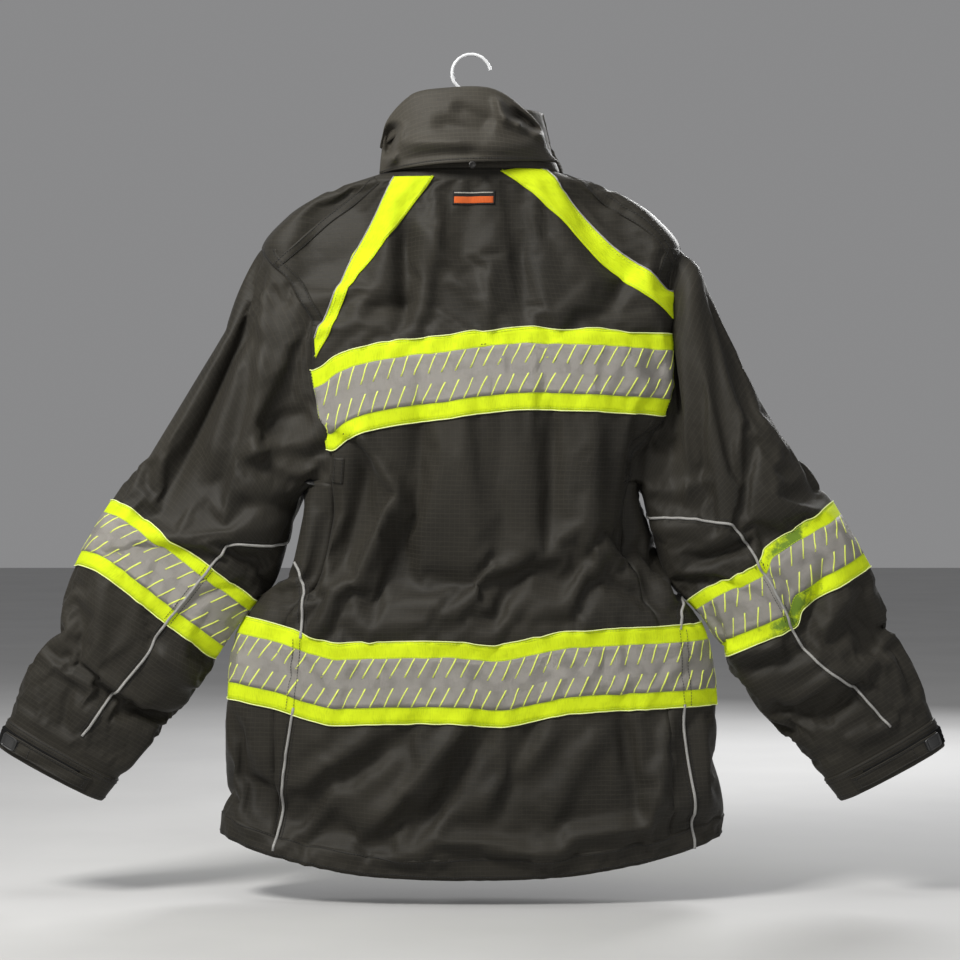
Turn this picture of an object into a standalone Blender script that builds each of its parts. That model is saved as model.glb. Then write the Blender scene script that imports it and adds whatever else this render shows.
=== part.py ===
"""High-visibility turnout coat on a wire hanger. Metres, +Z up, the coat's back faces -Y.

The origin is the inner top of the hanger's hook, where the rail bears. The outer cloth is cut
into panels that follow one torso surface and one sleeve surface. Each panel is a grid laid on
its surface and thickened with Solidify, and neighbouring pieces keep a small gap.
"""

from math import asin, copysign, cos, pi, radians, sin

import bmesh
import bpy
from mathutils import Vector

# Heights, from the hook's inner top down.
NECK_Z = -0.138
UNDERARM_Z = -0.482
HEM_SIDE_Z = -0.900
BACK_TAIL = 0.046
FRONT_NECK_DROP = 0.020
CHEST_BAND = (-0.411, -0.319)
WAIST_BAND = (-0.762, -0.670)

# Half-width and half-depth of the torso against height.
HALF_WIDTH = ((-0.950, 0.292), (-0.720, 0.279), (-0.669, 0.266), (-0.612, 0.224), (-0.545, 0.192),
              (-0.482, 0.189), (-0.400, 0.208), (-0.336, 0.222), (-0.270, 0.236), (-0.222, 0.241),
              (-0.185, 0.212), (-0.160, 0.170), (-0.138, 0.104))
BACK_DEPTH = ((-0.950, 0.075), (-0.700, 0.080), (-0.400, 0.086), (-0.226, 0.078), (-0.138, 0.068))
FRONT_DEPTH = 0.082
SECTION_POWER = 0.83          # below 1 squares the oval sections off

# Angle of the back panel's edge from the side line, against height.
SEAM_ANGLE = ((-0.950, 43.0), (-0.600, 38.0), (-0.505, 30.0), (-0.482, 19.0), (-0.262, 19.0),
              (-0.232, 6.0), (-0.215, 1.2), (-0.138, 1.2))

MEAN_SEAM_ANGLE = 40.0
SEAM_GAP_ANGLE = 1.9

# Sleeve edges (x, z) of the +X side from shoulder to wrist, and the half-depth along it.
SLEEVE_OUTER = ((0.249, -0.230), (0.335, -0.370), (0.414, -0.505), (0.487, -0.655), (0.540, -0.800))
SLEEVE_INNER = ((0.192, -0.486), (0.213, -0.546), (0.242, -0.615), (0.336, -0.752), (0.424, -0.862))
SLEEVE_DEPTH = (0.045, 0.052, 0.050, 0.042, 0.031)
SLEEVE_BAND = (0.51, 0.635)
SHOULDER_PIVOT = (0.2455, 0.0, -0.228)
SHOULDER_GAP = 0.006

CLOTH = 0.0016
LINING = 0.0030
TAPE = 0.0010
LIME_OFFSET = 0.0040
SILVER_OFFSET = 0.0066
LINING_OFFSET = -0.0090
TRIM_RATIO = 0.24             # share of a band's height in each lime edge

COLLAR_HEIGHT = 0.085
COLLAR_SIDE_DROP = 0.026
FLAP_HINGE = (0.0, -0.0745, -0.0600)

PLACKET_HALF = 0.014
ZIP_TOP_Z = -0.084
ZIP_BOTTOM_Z = -0.893
SLIDER_Z = -0.098

WIRE_RADIUS = 0.0020
HOOK_RADIUS = 0.0225

BLACK = (0.018, 0.018, 0.016, 1.0)
GREY = (0.115, 0.110, 0.098, 1.0)
LIME = (0.63, 0.86, 0.015, 1.0)
SILVER = (0.36, 0.35, 0.32, 1.0)
WHITE = (0.82, 0.82, 0.80, 1.0)
ORANGE = (0.75, 0.16, 0.03, 1.0)


def clear_scene():
    for old in list(bpy.data.objects):
        bpy.data.objects.remove(old, do_unlink=True)


def make_material(name, colour, roughness, metallic=0.0):
    material = bpy.data.materials.new(name)
    material.use_nodes = True
    shader = material.node_tree.nodes["Principled BSDF"]
    shader.inputs["Base Color"].default_value = colour
    shader.inputs["Roughness"].default_value = roughness
    shader.inputs["Metallic"].default_value = metallic
    return material


def along(knots, value):
    """Piecewise linear reading of (position, value) knots."""
    if value <= knots[0][0]:
        return knots[0][1]
    for (low, first), (high, second) in zip(knots, knots[1:]):
        if value <= high:
            return first + (second - first) * (value - low) / (high - low)
    return knots[-1][1]


def spline(values, t):
    """Catmull-Rom curve through evenly spaced values, t from 0 to 1."""
    count = len(values) - 1
    scaled = min(max(t, 0.0), 1.0) * count
    index = min(int(scaled), count - 1)
    f = scaled - index
    picked = [values[min(max(index + k, 0), count)] for k in (-1, 0, 1, 2)]
    before, start, end, after = (Vector(p) if isinstance(p, tuple) else p for p in picked)
    cubic = 3 * start - before - 3 * end + after
    square = 2 * before - 5 * start + 4 * end - after
    return start + 0.5 * f * (end - before + f * (square + f * cubic))


# ---- Torso surface. theta is 0 at the +X side, 90 at the back centre and 270 at the front.

def torso(theta, z, offset=0.0):
    angle = radians(theta)
    c, s = cos(angle), sin(angle)
    depth = along(BACK_DEPTH, z) if s >= 0 else FRONT_DEPTH
    x = (along(HALF_WIDTH, z) + offset) * copysign(abs(c) ** SECTION_POWER, c)
    y = -(depth + offset) * copysign(abs(s) ** SECTION_POWER, s)
    return Vector((x, y, z))


def front_share(theta):
    """0 on the back and at the sides, rising to 1 at the front centre."""
    return max(0.0, -sin(radians(theta))) ** 2


def neckline_z(theta):
    return NECK_Z - FRONT_NECK_DROP * front_share(theta)


def hem_z(theta):
    return HEM_SIDE_Z - BACK_TAIL * max(0.0, sin(radians(theta))) ** 2


def panel_z(theta, v):
    """Rows from the hem at v 0 to the neckline at v 1, closer together at the top."""
    low = hem_z(theta)
    return low + (neckline_z(theta) - low) * (1.0 - (1.0 - v) ** 1.5)


def theta_at(x, z, side):
    """Angle on the back (side 1) or front (side -1) where the torso passes through x."""
    share = min(1.0, abs(x) / along(HALF_WIDTH, z)) ** (1.0 / SECTION_POWER)
    angle = 90.0 - 180.0 / pi * asin(share)
    angle = angle if side > 0 else -angle
    return angle if x >= 0 else 180.0 - angle


# ---- Sleeve surface of one side. phi is 0 on the outer edge, 90 at the back, 180 on the inner edge.

def sleeve(side, t, phi, offset=0.0):
    outer, inner = spline(SLEEVE_OUTER, t), spline(SLEEVE_INNER, t)
    depth = spline(SLEEVE_DEPTH, t) + offset
    centre, half = (outer + inner) / 2, (outer - inner) / 2
    half *= 1.0 + offset / half.length
    angle = radians(phi)
    c, s = cos(angle), sin(angle)
    flat = centre + half * copysign(abs(c) ** SECTION_POWER, c)
    shift = SHOULDER_GAP
    return Vector((side * (flat.x + shift), -depth * copysign(abs(s) ** SECTION_POWER, s), flat.y))


# ---- Building blocks

def link(obj, collection, material, parent=None):
    collection.objects.link(obj)
    obj.data.materials.clear()
    obj.data.materials.append(material)
    if parent is not None:
        obj.parent = parent
        obj.matrix_parent_inverse = parent.matrix_world.inverted()
    return obj


def cloth_piece(name, place, columns, rows, thickness, ring=False):
    """A grid whose corner (u, v) goes to place(u, v), thickened evenly; a ring closes u 1 on u 0."""
    mesh = bpy.data.meshes.new(name)
    work = bmesh.new()
    bmesh.ops.create_grid(work, x_segments=columns, y_segments=rows, size=0.5)
    for vertex in work.verts:
        vertex.co = place(vertex.co.x + 0.5, vertex.co.y + 0.5)
    if ring:
        bmesh.ops.remove_doubles(work, verts=work.verts, dist=1e-6)
    work.to_mesh(mesh)
    work.free()
    mesh.shade_smooth()
    obj = bpy.data.objects.new(name, mesh)
    solidify = obj.modifiers.new("Thickness", "SOLIDIFY")
    solidify.thickness = thickness
    solidify.offset = 0.0
    return obj


def block(name, low, high, bevel=0.0):
    """A box between two corners, with its edges rounded."""
    low, high = Vector(low), Vector(high)
    mesh = bpy.data.meshes.new(name)
    work = bmesh.new()
    bmesh.ops.create_cube(work, size=1.0)
    for vertex in work.verts:
        vertex.co = Vector(vertex.co[i] * (high[i] - low[i]) for i in range(3))
    work.to_mesh(mesh)
    work.free()
    obj = bpy.data.objects.new(name, mesh)
    obj.location = (low + high) / 2
    if bevel:
        rounding = obj.modifiers.new("Rounding", "BEVEL")
        rounding.width = bevel
        rounding.segments = 2
    return obj


def cord_piece(name, points, radius, resolution=2):
    """A POLY curve with a round section and filled caps."""
    curve = bpy.data.curves.new(name, "CURVE")
    curve.dimensions = "3D"
    curve.bevel_depth = radius
    curve.bevel_resolution = resolution
    curve.use_fill_caps = True
    line = curve.splines.new("POLY")
    line.points.add(len(points) - 1)
    for point, place in zip(line.points, points):
        point.co = (*place, 1.0)
    return bpy.data.objects.new(name, curve)


def samples(place, count):
    return [place(k / (count - 1)) for k in range(count)]


def pivot(name, place, collection, parent=None):
    empty = bpy.data.objects.new(name, None)
    empty.location = place
    collection.objects.link(empty)
    bpy.context.view_layer.update()
    if parent is not None:
        empty.parent = parent
        empty.matrix_parent_inverse = parent.matrix_world.inverted()
    bpy.context.view_layer.update()
    return empty


# ---- Torso pieces

def edge_angle(v, side):
    """Angle of a panel's side edge on row v, on the back (side 1) or the front (side -1)."""
    first = along(SEAM_ANGLE, panel_z(side * MEAN_SEAM_ANGLE, v))
    return along(SEAM_ANGLE, panel_z(side * first, v))


def back_place(offset=0.0):
    def place(u, v):
        edge = edge_angle(v, 1)
        theta = edge + (180.0 - 2 * edge) * u
        return torso(theta, panel_z(theta, v), offset)
    return place


def front_place(side, offset=0.0):
    """Front panel of one side, from its side edge (u 0) to the placket (u 1)."""
    def place(u, v):
        edge = -edge_angle(v, -1)
        centre = placket_angle(panel_z(-90.0, v))
        theta = edge + (centre - edge) * u
        point = torso(theta, panel_z(theta, v), offset)
        return Vector((side * point.x, point.y, point.z))
    return place


def placket_angle(z, half=PLACKET_HALF):
    share = (half / along(HALF_WIDTH, z)) ** (1.0 / SECTION_POWER)
    return -90.0 + share * 180.0 / pi


def side_place(side, offset=0.0):
    def place(u, v):
        top = UNDERARM_Z - 0.016
        back_low = hem_z(MEAN_SEAM_ANGLE)
        back_edge = along(SEAM_ANGLE, back_low + (top - back_low) * v) - SEAM_GAP_ANGLE
        front_edge = along(SEAM_ANGLE, HEM_SIDE_Z + (top - HEM_SIDE_Z) * v) - SEAM_GAP_ANGLE
        theta = back_edge - (back_edge + front_edge) * u
        low = hem_z(theta)
        point = torso(theta, low + (top - low) * v, offset)
        return Vector((side * point.x, point.y, point.z))
    return place


def band_place(z_range, start, end, offset):
    """A level strip round the torso between two angles."""
    def place(u, v):
        return torso(start + (end - start) * u, z_range[0] + (z_range[1] - z_range[0]) * v, offset)
    return place


def brace_place(side, offset, width_range=(0.0, 1.0)):
    """Back brace: from the neck's corner down and out to the armhole above the chest band."""
    def place(u, v):
        across = width_range[0] + (width_range[1] - width_range[0]) * u
        top = Vector((0.040 + 0.048 * across, NECK_Z - 0.008 - 0.006 * across))
        bend = Vector((0.110 + 0.039 * across, -0.217 + 0.009 * across))
        foot = Vector((0.193 + 0.010 * across, -0.312 + 0.022 * across))
        flat = top.lerp(bend, v * 2) if v < 0.5 else bend.lerp(foot, v * 2 - 1)
        point = torso(theta_at(flat.x, flat.y, 1), flat.y, offset)
        return Vector((side * point.x, point.y, point.z))
    return place


def main():
    clear_scene()
    parts = bpy.data.collections.new("turnout_coat")
    bpy.context.scene.collection.children.link(parts)
    shell = make_material("shell_cloth", BLACK, 0.62)
    hood = make_material("collar_cloth", GREY, 0.60)
    lining = make_material("lining_cloth", (0.030, 0.030, 0.032, 1.0), 0.70)
    lime = make_material("lime_tape", LIME, 0.55)
    silver = make_material("silver_tape", SILVER, 0.38)
    piping = make_material("piping_tape", (0.50, 0.49, 0.47, 1.0), 0.40)
    pile = make_material("loop_pile", (0.010, 0.010, 0.010, 1.0), 0.95)
    rubber = make_material("grip_rubber", (0.020, 0.020, 0.020, 1.0), 0.55)
    zinc = make_material("zip_metal", (0.30, 0.30, 0.31, 1.0), 0.35, 1.0)
    wire = make_material("hanger_wire", WHITE, 0.40)
    badge = make_material("badge_weave", ORANGE, 0.60)

    # Torso cloth.
    link(cloth_piece("back_panel", back_place(), 14, 18, CLOTH), parts, shell)
    for label, side in (("right", 1), ("left", -1)):
        link(cloth_piece("front_panel_" + label, front_place(side), 8, 18, CLOTH), parts, shell)
        link(cloth_piece("side_panel_" + label, side_place(side), 6, 12, CLOTH), parts, shell)

    # Lining: one sheet from front edge to front edge, below the armholes.
    def lining_place(u, v):
        theta = -82.0 + 344.0 * u
        return torso(theta, HEM_SIDE_Z + 0.020 + (UNDERARM_Z - 0.030 - HEM_SIDE_Z - 0.020) * v, LINING_OFFSET)
    link(cloth_piece("body_lining", lining_place, 26, 6, LINING), parts, lining)

    # Collar stand, open in front.
    def collar_place(u, v):
        theta = -82.0 + 344.0 * u
        low = neckline_z(theta) + 0.004
        back = max(0.0, sin(radians(theta)))
        side_share = cos(radians(theta)) ** 2
        high = NECK_Z + COLLAR_HEIGHT - COLLAR_SIDE_DROP * side_share - 0.016 * front_share(theta)
        z = low + (high - low) * v
        base = torso(theta, min(neckline_z(theta), NECK_Z))
        neck = Vector((0.097 * copysign(abs(cos(radians(theta))) ** SECTION_POWER, cos(radians(theta))),
                       base.y, z))
        lean = 1.0 - 0.16 * v
        return Vector((neck.x * lean, neck.y * (1.0 - 0.10 * v * back), z))
    link(cloth_piece("collar_stand", collar_place, 26, 4, 0.0024), parts, hood)
    link(block("hanging_loop", (-0.030, -0.0600, NECK_Z - 0.006), (0.030, -0.0575, NECK_Z + 0.002), 0.0006),
         parts, shell)
    link(block("neck_badge", (-0.021, -0.0775, -0.178), (0.021, -0.0760, -0.164), 0.0005), parts, badge)

    # Bands round the torso.
    for label, band, start, end, pieces in (("chest", CHEST_BAND, 21.0, 159.0, 16),
                                            ("waist", WAIST_BAND, -84.0, 264.0, 40)):
        height = band[1] - band[0]
        inset = height * TRIM_RATIO
        link(cloth_piece(label + "_band_lime", band_place(band, start, end, LIME_OFFSET), pieces, 2, TAPE),
             parts, lime)
        middle = (band[0] + inset, band[1] - inset)
        link(cloth_piece(label + "_band_silver", band_place(middle, start, end, SILVER_OFFSET), pieces, 2, TAPE),
             parts, silver)
    for label, side in (("right", 1), ("left", -1)):
        start, end = (-80.0, -22.0) if side > 0 else (260.0, 202.0)
        link(cloth_piece("front_chest_band_" + label, band_place(CHEST_BAND, start, end, LIME_OFFSET),
                         8, 2, TAPE), parts, lime)
        link(cloth_piece("back_brace_" + label, brace_place(side, LIME_OFFSET), 2, 8, TAPE), parts, lime)

        def seam_line(w, side=side):
            z = -0.548 + (-0.668 + 0.548) * w
            theta = along(SEAM_ANGLE, z) + 0.5
            point = torso(theta, z, 0.0055)
            return Vector((side * point.x, point.y, point.z))

        def lower_seam_line(w, side=side):
            theta = 43.0
            z = WAIST_BAND[0] - 0.002 + (hem_z(theta) + 0.004 - WAIST_BAND[0] + 0.002) * w
            point = torso(theta, z, 0.0032)
            return Vector((side * point.x, point.y, point.z))
        link(cord_piece("upper_piping_" + label, samples(seam_line, 7), 0.0015), parts, piping)
        link(cord_piece("lower_piping_" + label, samples(lower_seam_line, 7), 0.0015), parts, piping)

    # Front closure.
    for label, side in (("right", 1), ("left", -1)):
        edges = sorted((side * 0.0034, side * 0.0125))
        link(block("zip_tape_" + label, (edges[0], 0.0796, ZIP_BOTTOM_Z), (edges[1], 0.0806, ZIP_TOP_Z)),
             parts, shell)
    link(block("zip_chain", (-0.0028, 0.0792, ZIP_BOTTOM_Z + 0.012), (0.0028, 0.0812, ZIP_TOP_Z)), parts, shell)
    link(block("zip_stop", (-0.0050, 0.0782, ZIP_BOTTOM_Z - 0.004), (0.0050, 0.0830, ZIP_BOTTOM_Z - 0.0004), 0.0008),
         parts, zinc)
    link(block("wind_flap", (-0.030, 0.0735, ZIP_BOTTOM_Z + 0.015), (0.030, 0.0755, -0.175), 0.0005), parts, lining)
    slider_pivot = pivot("slider_travel", (0.0, 0.0845, SLIDER_Z), parts)
    link(block("zip_slider", (-0.0055, 0.0818, SLIDER_Z - 0.007), (0.0055, 0.0860, SLIDER_Z + 0.007), 0.0012),
         parts, zinc, slider_pivot)
    pull_pivot = pivot("pull_pivot", (0.0, 0.0885, SLIDER_Z + 0.0015), parts, slider_pivot)
    link(block("zip_pull", (-0.0040, 0.0876, SLIDER_Z - 0.036), (0.0040, 0.0894, SLIDER_Z + 0.003), 0.0006),
         parts, rubber, pull_pivot)

    # Front pockets with hinged flaps.
    for label, side in (("right", 1), ("left", -1)):
        def on_front(x_range, z_range, offset, side=side):
            def place(u, v):
                x = x_range[0] + (x_range[1] - x_range[0]) * u
                z = z_range[0] + (z_range[1] - z_range[0]) * v
                point = torso(theta_at(x, z, -1), z, offset)
                return Vector((side * point.x, point.y, point.z))
            return place
        link(cloth_piece("pocket_" + label, on_front((0.052, 0.212), (-0.884, -0.790), 0.0050), 8, 3, 0.0030),
             parts, shell)
        inner, outer = on_front((0.048, 0.216), (-0.826, -0.778), 0.0105)(0, 1), \
            on_front((0.048, 0.216), (-0.826, -0.778), 0.0105)(1, 1)
        flap_pivot = pivot("flap_pivot_" + label, (inner + outer) / 2, parts)
        link(cloth_piece("pocket_flap_" + label, on_front((0.048, 0.216), (-0.826, -0.778), 0.0105), 8, 2, 0.0030),
             parts, shell, flap_pivot)

    # Collar flap over the collar's back, hinged at its upper fold.
    flap_hinge = pivot("collar_flap_fold", FLAP_HINGE, parts)

    def flap_place(u, v):
        theta = 14.0 + 152.0 * u
        c, s = cos(radians(theta)), sin(radians(theta))
        low = NECK_Z + 0.003 + 0.006 * c * c
        z = low + (NECK_Z + COLLAR_HEIGHT - 0.005 - 0.016 * c * c - low) * v
        width = 0.1065 - 0.016 * v
        depth = 0.0840 - 0.0120 * v
        return Vector((width * copysign(abs(c) ** SECTION_POWER, c), -depth * abs(s) ** SECTION_POWER, z))
    link(cloth_piece("collar_flap", flap_place, 14, 4, 0.0024), parts, hood, flap_hinge)

    # Sleeves with their trims, on pivots at the shoulder tips.
    for label, side in (("right", 1), ("left", -1)):
        shoulder = pivot("shoulder_pivot_" + label,
                         (side * (SHOULDER_PIVOT[0] + SHOULDER_GAP), SHOULDER_PIVOT[1], SHOULDER_PIVOT[2]), parts)

        def tube(t_range, offset, side=side):
            def place(u, v):
                return sleeve(side, t_range[0] + (t_range[1] - t_range[0]) * v, 360.0 * u, offset)
            return place
        link(cloth_piece("sleeve_" + label, tube((0.0, 1.0), 0.0), 20, 14, CLOTH, True), parts, shell, shoulder)
        link(cloth_piece("sleeve_lining_" + label, tube((0.04, 0.97), -0.0075), 16, 10, LINING, True),
             parts, lining, shoulder)
        low, high = SLEEVE_BAND
        inset = (high - low) * TRIM_RATIO
        link(cloth_piece("sleeve_band_lime_" + label, tube((low, high), LIME_OFFSET), 20, 2, TAPE, True),
             parts, lime, shoulder)
        link(cloth_piece("sleeve_band_silver_" + label, tube((low + inset, high - inset), SILVER_OFFSET),
                         20, 1, TAPE, True), parts, silver, shoulder)
        link(cloth_piece("cuff_" + label, tube((0.925, 1.0), 0.0042), 20, 2, CLOTH, True), parts, shell, shoulder)

        def upper_line(w, side=side):
            return sleeve(side, 0.40 + 0.10 * w, 150.0 - 55.0 * w, 0.0034)

        def lower_line(w, side=side):
            return sleeve(side, 0.645 + 0.27 * w, 100.0 + 8.0 * w, 0.0034)
        link(cord_piece("elbow_piping_" + label, samples(upper_line, 7), 0.0015), parts, piping, shoulder)
        link(cord_piece("forearm_piping_" + label, samples(lower_line, 9), 0.0015), parts, piping, shoulder)

        def cuff_patch(phi_range, t_range, offset, side=side):
            def place(u, v):
                return sleeve(side, t_range[0] + (t_range[1] - t_range[0]) * v,
                              phi_range[0] + (phi_range[1] - phi_range[0]) * u, offset)
            return place
        link(cloth_piece("cuff_loop_patch_" + label, cuff_patch((8.0, 112.0), (0.940, 0.990), 0.0068),
                         9, 1, 0.0014), parts, pile, shoulder)
        seam = cuff_patch((30.0, 125.0), (0.944, 0.986), 0.0098)
        tab_pivot = pivot("tab_pivot_" + label, (seam(1, 0) + seam(1, 1)) / 2, parts, shoulder)
        link(cloth_piece("cuff_tab_" + label, seam, 9, 1, 0.0020), parts, shell, tab_pivot)
        link(cloth_piece("cuff_tab_grip_" + label, cuff_patch((31.0, 52.0), (0.947, 0.983), 0.0122),
                         3, 1, 0.0016), parts, rubber, tab_pivot)

    # Wire hanger: hook, neck, shoulders and bar in one bent length.
    centre_z = -(HOOK_RADIUS - WIRE_RADIUS)
    hook = [(HOOK_RADIUS * cos(radians(a)), 0.0, centre_z + HOOK_RADIUS * sin(radians(a)))
            for a in range(10, 216, 15)]
    route = hook + [(-0.010, 0.0, -0.041), (-0.003, 0.0, -0.052), (0.0, 0.0, -0.066), (0.0, 0.0, -0.110),
                    (0.0, 0.0, -0.160), (-0.006, 0.0, -0.168), (-0.100, 0.0, -0.198), (-0.188, 0.0, -0.226),
                    (-0.198, 0.0, -0.233), (-0.199, 0.0, -0.242), (-0.190, 0.0, -0.248), (0.0, 0.0, -0.250),
                    (0.190, 0.0, -0.248), (0.199, 0.0, -0.242), (0.198, 0.0, -0.233), (0.188, 0.0, -0.226),
                    (0.100, 0.0, -0.198), (0.006, 0.0, -0.1695)]
    link(cord_piece("wire_hanger", route, WIRE_RADIUS), parts, wire)


main()
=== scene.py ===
"""Looks of the high-visibility turnout coat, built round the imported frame.

One open sheet is cut for the torso and both sleeves, given its folds, and crumpled by a cloth
simulation that holds it near its hung shape. The panels, tapes, piping and stitches are then
taken from that one settled surface, so they lie on it exactly.
"""

from math import cos, pi, radians, sin

import bmesh
import bpy
import numpy as np
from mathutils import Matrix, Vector


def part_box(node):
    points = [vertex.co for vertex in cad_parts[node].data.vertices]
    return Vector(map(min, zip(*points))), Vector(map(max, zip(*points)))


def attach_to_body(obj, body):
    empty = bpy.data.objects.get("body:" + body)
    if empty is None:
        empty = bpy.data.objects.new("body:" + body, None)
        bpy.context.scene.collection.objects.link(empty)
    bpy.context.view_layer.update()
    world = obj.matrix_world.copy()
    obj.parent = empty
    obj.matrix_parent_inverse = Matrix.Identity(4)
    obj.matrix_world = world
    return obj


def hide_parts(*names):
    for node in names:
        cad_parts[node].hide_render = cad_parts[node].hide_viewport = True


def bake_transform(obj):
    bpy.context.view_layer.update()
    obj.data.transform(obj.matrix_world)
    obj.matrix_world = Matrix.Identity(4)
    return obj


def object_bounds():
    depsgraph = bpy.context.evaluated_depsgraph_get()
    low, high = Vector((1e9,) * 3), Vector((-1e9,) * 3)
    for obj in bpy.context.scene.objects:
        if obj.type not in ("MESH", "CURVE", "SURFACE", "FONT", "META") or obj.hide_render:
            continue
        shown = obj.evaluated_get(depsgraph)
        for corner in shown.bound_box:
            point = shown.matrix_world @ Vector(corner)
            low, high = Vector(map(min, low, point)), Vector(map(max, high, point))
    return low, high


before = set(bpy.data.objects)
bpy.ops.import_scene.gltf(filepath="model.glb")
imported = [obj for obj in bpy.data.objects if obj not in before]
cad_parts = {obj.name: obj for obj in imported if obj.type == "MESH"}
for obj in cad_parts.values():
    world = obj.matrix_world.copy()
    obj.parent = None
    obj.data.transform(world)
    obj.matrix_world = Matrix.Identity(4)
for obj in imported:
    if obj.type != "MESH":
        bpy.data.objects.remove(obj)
cad_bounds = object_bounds()

# ---- Driving dimensions, in metres, from the frame's origin at the top of the hanger's hook.
# The outlines and back folds further down aren't worked out from these dimensions. They were picked on
# the photograph, in its pixels, and scaled to millimetres at 1.13 mm a pixel. The front's folds are made up.
MM = 0.001
NECK_Z, TIP_Z, UNDERARM_Z, HEM_SIDE_Z = -0.138, -0.224, -0.486, -0.900
BACK_TAIL, FRONT_NECK_DROP, FRONT_DEPTH = 0.046, 0.020, 0.082
SECTION_POWER, ROW_POWER = 0.83, 1.5
PLACKET_HALF = 0.0125
# Outlines by height: half the torso's width, its depth behind, and the angle of the side seams.
HALF_WIDTH = ((-0.950, 0.292), (-0.720, 0.279), (-0.669, 0.270), (-0.612, 0.238), (-0.545, 0.210),
              (-0.482, 0.193), (-0.400, 0.208), (-0.336, 0.222), (-0.270, 0.236), (-0.222, 0.241),
              (-0.185, 0.212), (-0.160, 0.170), (-0.138, 0.104))
BACK_DEPTH = ((-0.950, 0.075), (-0.700, 0.080), (-0.400, 0.086), (-0.226, 0.078), (-0.138, 0.068))
SEAM_ANGLE = ((-0.950, 43.0), (-0.600, 38.0), (-0.535, 33.0), (-0.486, 27.0), (-0.262, 27.0),
              (-0.236, 14.0), (-0.224, 0.0), (-0.138, 0.0))
# The coat hangs turned a little on its hanger: more of the back shows beside the right armhole.
WIDER_RIGHT = ((-0.560, 0.0), (-0.482, 0.01), (-0.440, 0.09), (-0.400, 0.115), (-0.336, 0.065), (-0.270, 0.0))
SEAM_TURN = {1: ((-0.640, 0.0), (-0.486, -10.0), (-0.420, -15.0), (-0.330, -15.0), (-0.262, -10.0),
                 (-0.230, 0.0)),
             -1: ((-0.640, 0.0), (-0.486, 9.0), (-0.443, 12.0), (-0.386, 9.0), (-0.308, 13.0), (-0.274, 7.0),
                  (-0.250, 2.0), (-0.230, 0.0))}
# How far the bands rise and sink along the back, by x.
CHEST_DROOP = ((-0.200, -0.048), (-0.173, -0.042), (-0.150, -0.028), (-0.120, -0.018), (-0.080, -0.011),
               (-0.030, -0.006), (0.010, 0.0), (0.060, 0.004), (0.120, 0.0025), (0.180, 0.0), (0.240, -0.001))
WAIST_DROOP = ((-0.290, 0.022), (-0.256, 0.019), (-0.214, 0.012), (-0.180, 0.002), (-0.150, -0.003),
               (-0.100, -0.002), (-0.030, -0.0015), (0.030, -0.005), (0.067, 0.001), (0.118, 0.010),
               (0.183, 0.012), (0.290, 0.014))
NO_DROOP = ((-0.30, 0.0), (0.0, 0.0), (0.30, 0.0))
# A sleeve's outer and inner edge as (distance from the coat's middle, z), and half its depth.
SLEEVE_OUTER = ((0.255, -0.230), (0.341, -0.370), (0.420, -0.505), (0.493, -0.655), (0.546, -0.800))
SLEEVE_INNER = ((0.198, -0.486), (0.219, -0.546), (0.248, -0.615), (0.342, -0.752), (0.430, -0.862))
SLEEVE_DEPTH = (0.045, 0.052, 0.050, 0.042, 0.031)
SLEEVE_LENGTH, SLEEVE_GIRTH = 0.63, 0.42
CHEST_BAND, WAIST_BAND = (-0.411, -0.319), (-0.762, -0.670)
SLEEVE_BAND = (0.51, 0.635)
TRIM_SHARE = 0.205

FRONT_COLUMNS, SIDE_COLUMNS, BACK_COLUMNS = 28, 14, 50
TORSO_ROWS, SLEEVE_ROWS = 100, 70
RING_BLEND, SHAPE_BLEND = 0.30, 0.14
CLOTH_THICKNESS = 0.0014
SEED = 7


# ---- Curves and small numeric helpers

def smooth_read(knots, position):
    """Monotone cubic reading of (position, value) knots."""
    kx, ky = np.array(knots, float).T
    step = np.diff(kx)
    rise = np.diff(ky) / step
    slope = np.zeros_like(kx)
    slope[0], slope[-1] = rise[0], rise[-1]
    product, total = rise[:-1] * rise[1:], rise[:-1] + rise[1:]
    slope[1:-1] = np.where(product > 0, 2 * product / np.where(np.abs(total) < 1e-12, 1.0, total), 0.0)
    index = np.clip(np.searchsorted(kx, position) - 1, 0, len(step) - 1)
    t = np.clip((position - kx[index]) / step[index], 0, 1)
    curve = ky[index] * (1 + 2 * t) * (1 - t) ** 2 + ky[index + 1] * t * t * (3 - 2 * t)
    return curve + step[index] * (slope[index] * t * (1 - t) ** 2 - slope[index + 1] * t * t * (1 - t))


def catmull(values, t):
    """Catmull-Rom curve through evenly spaced values, for t from 0 to 1."""
    values, t = np.array(values, float), np.asarray(t, float)
    count = len(values) - 1
    scaled = np.clip(t, 0, 1) * count
    index = np.minimum(scaled.astype(int), count - 1)
    f = scaled - index
    if values.ndim > 1:
        f = f[..., None]
    before, start, end, after = (values[np.clip(index + k, 0, count)] for k in (-1, 0, 1, 2))
    cubic = 3 * start - before - 3 * end + after
    square = 2 * before - 5 * start + 4 * end - after
    return start + 0.5 * f * (end - before + f * (square + f * cubic))


def smoothstep(x):
    x = np.clip(x, 0, 1)
    return x * x * (3 - 2 * x)


def signed_power(value, power=SECTION_POWER):
    return np.sign(value) * np.abs(value) ** power


def unit(vectors):
    return vectors / np.maximum(np.linalg.norm(vectors, axis=-1, keepdims=True), 1e-9)


def lengths(line):
    """Length along a line of points, from 0 at its first."""
    return np.concatenate([[0], np.cumsum(np.linalg.norm(np.diff(line, axis=0), axis=1))])


def read_line(line, at, known=None):
    """Points of a line at the given lengths along it, or along the known lengths."""
    known = lengths(line) if known is None else known
    return np.stack([np.interp(at, known, line[:, k]) for k in range(line.shape[1])], axis=-1)


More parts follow.
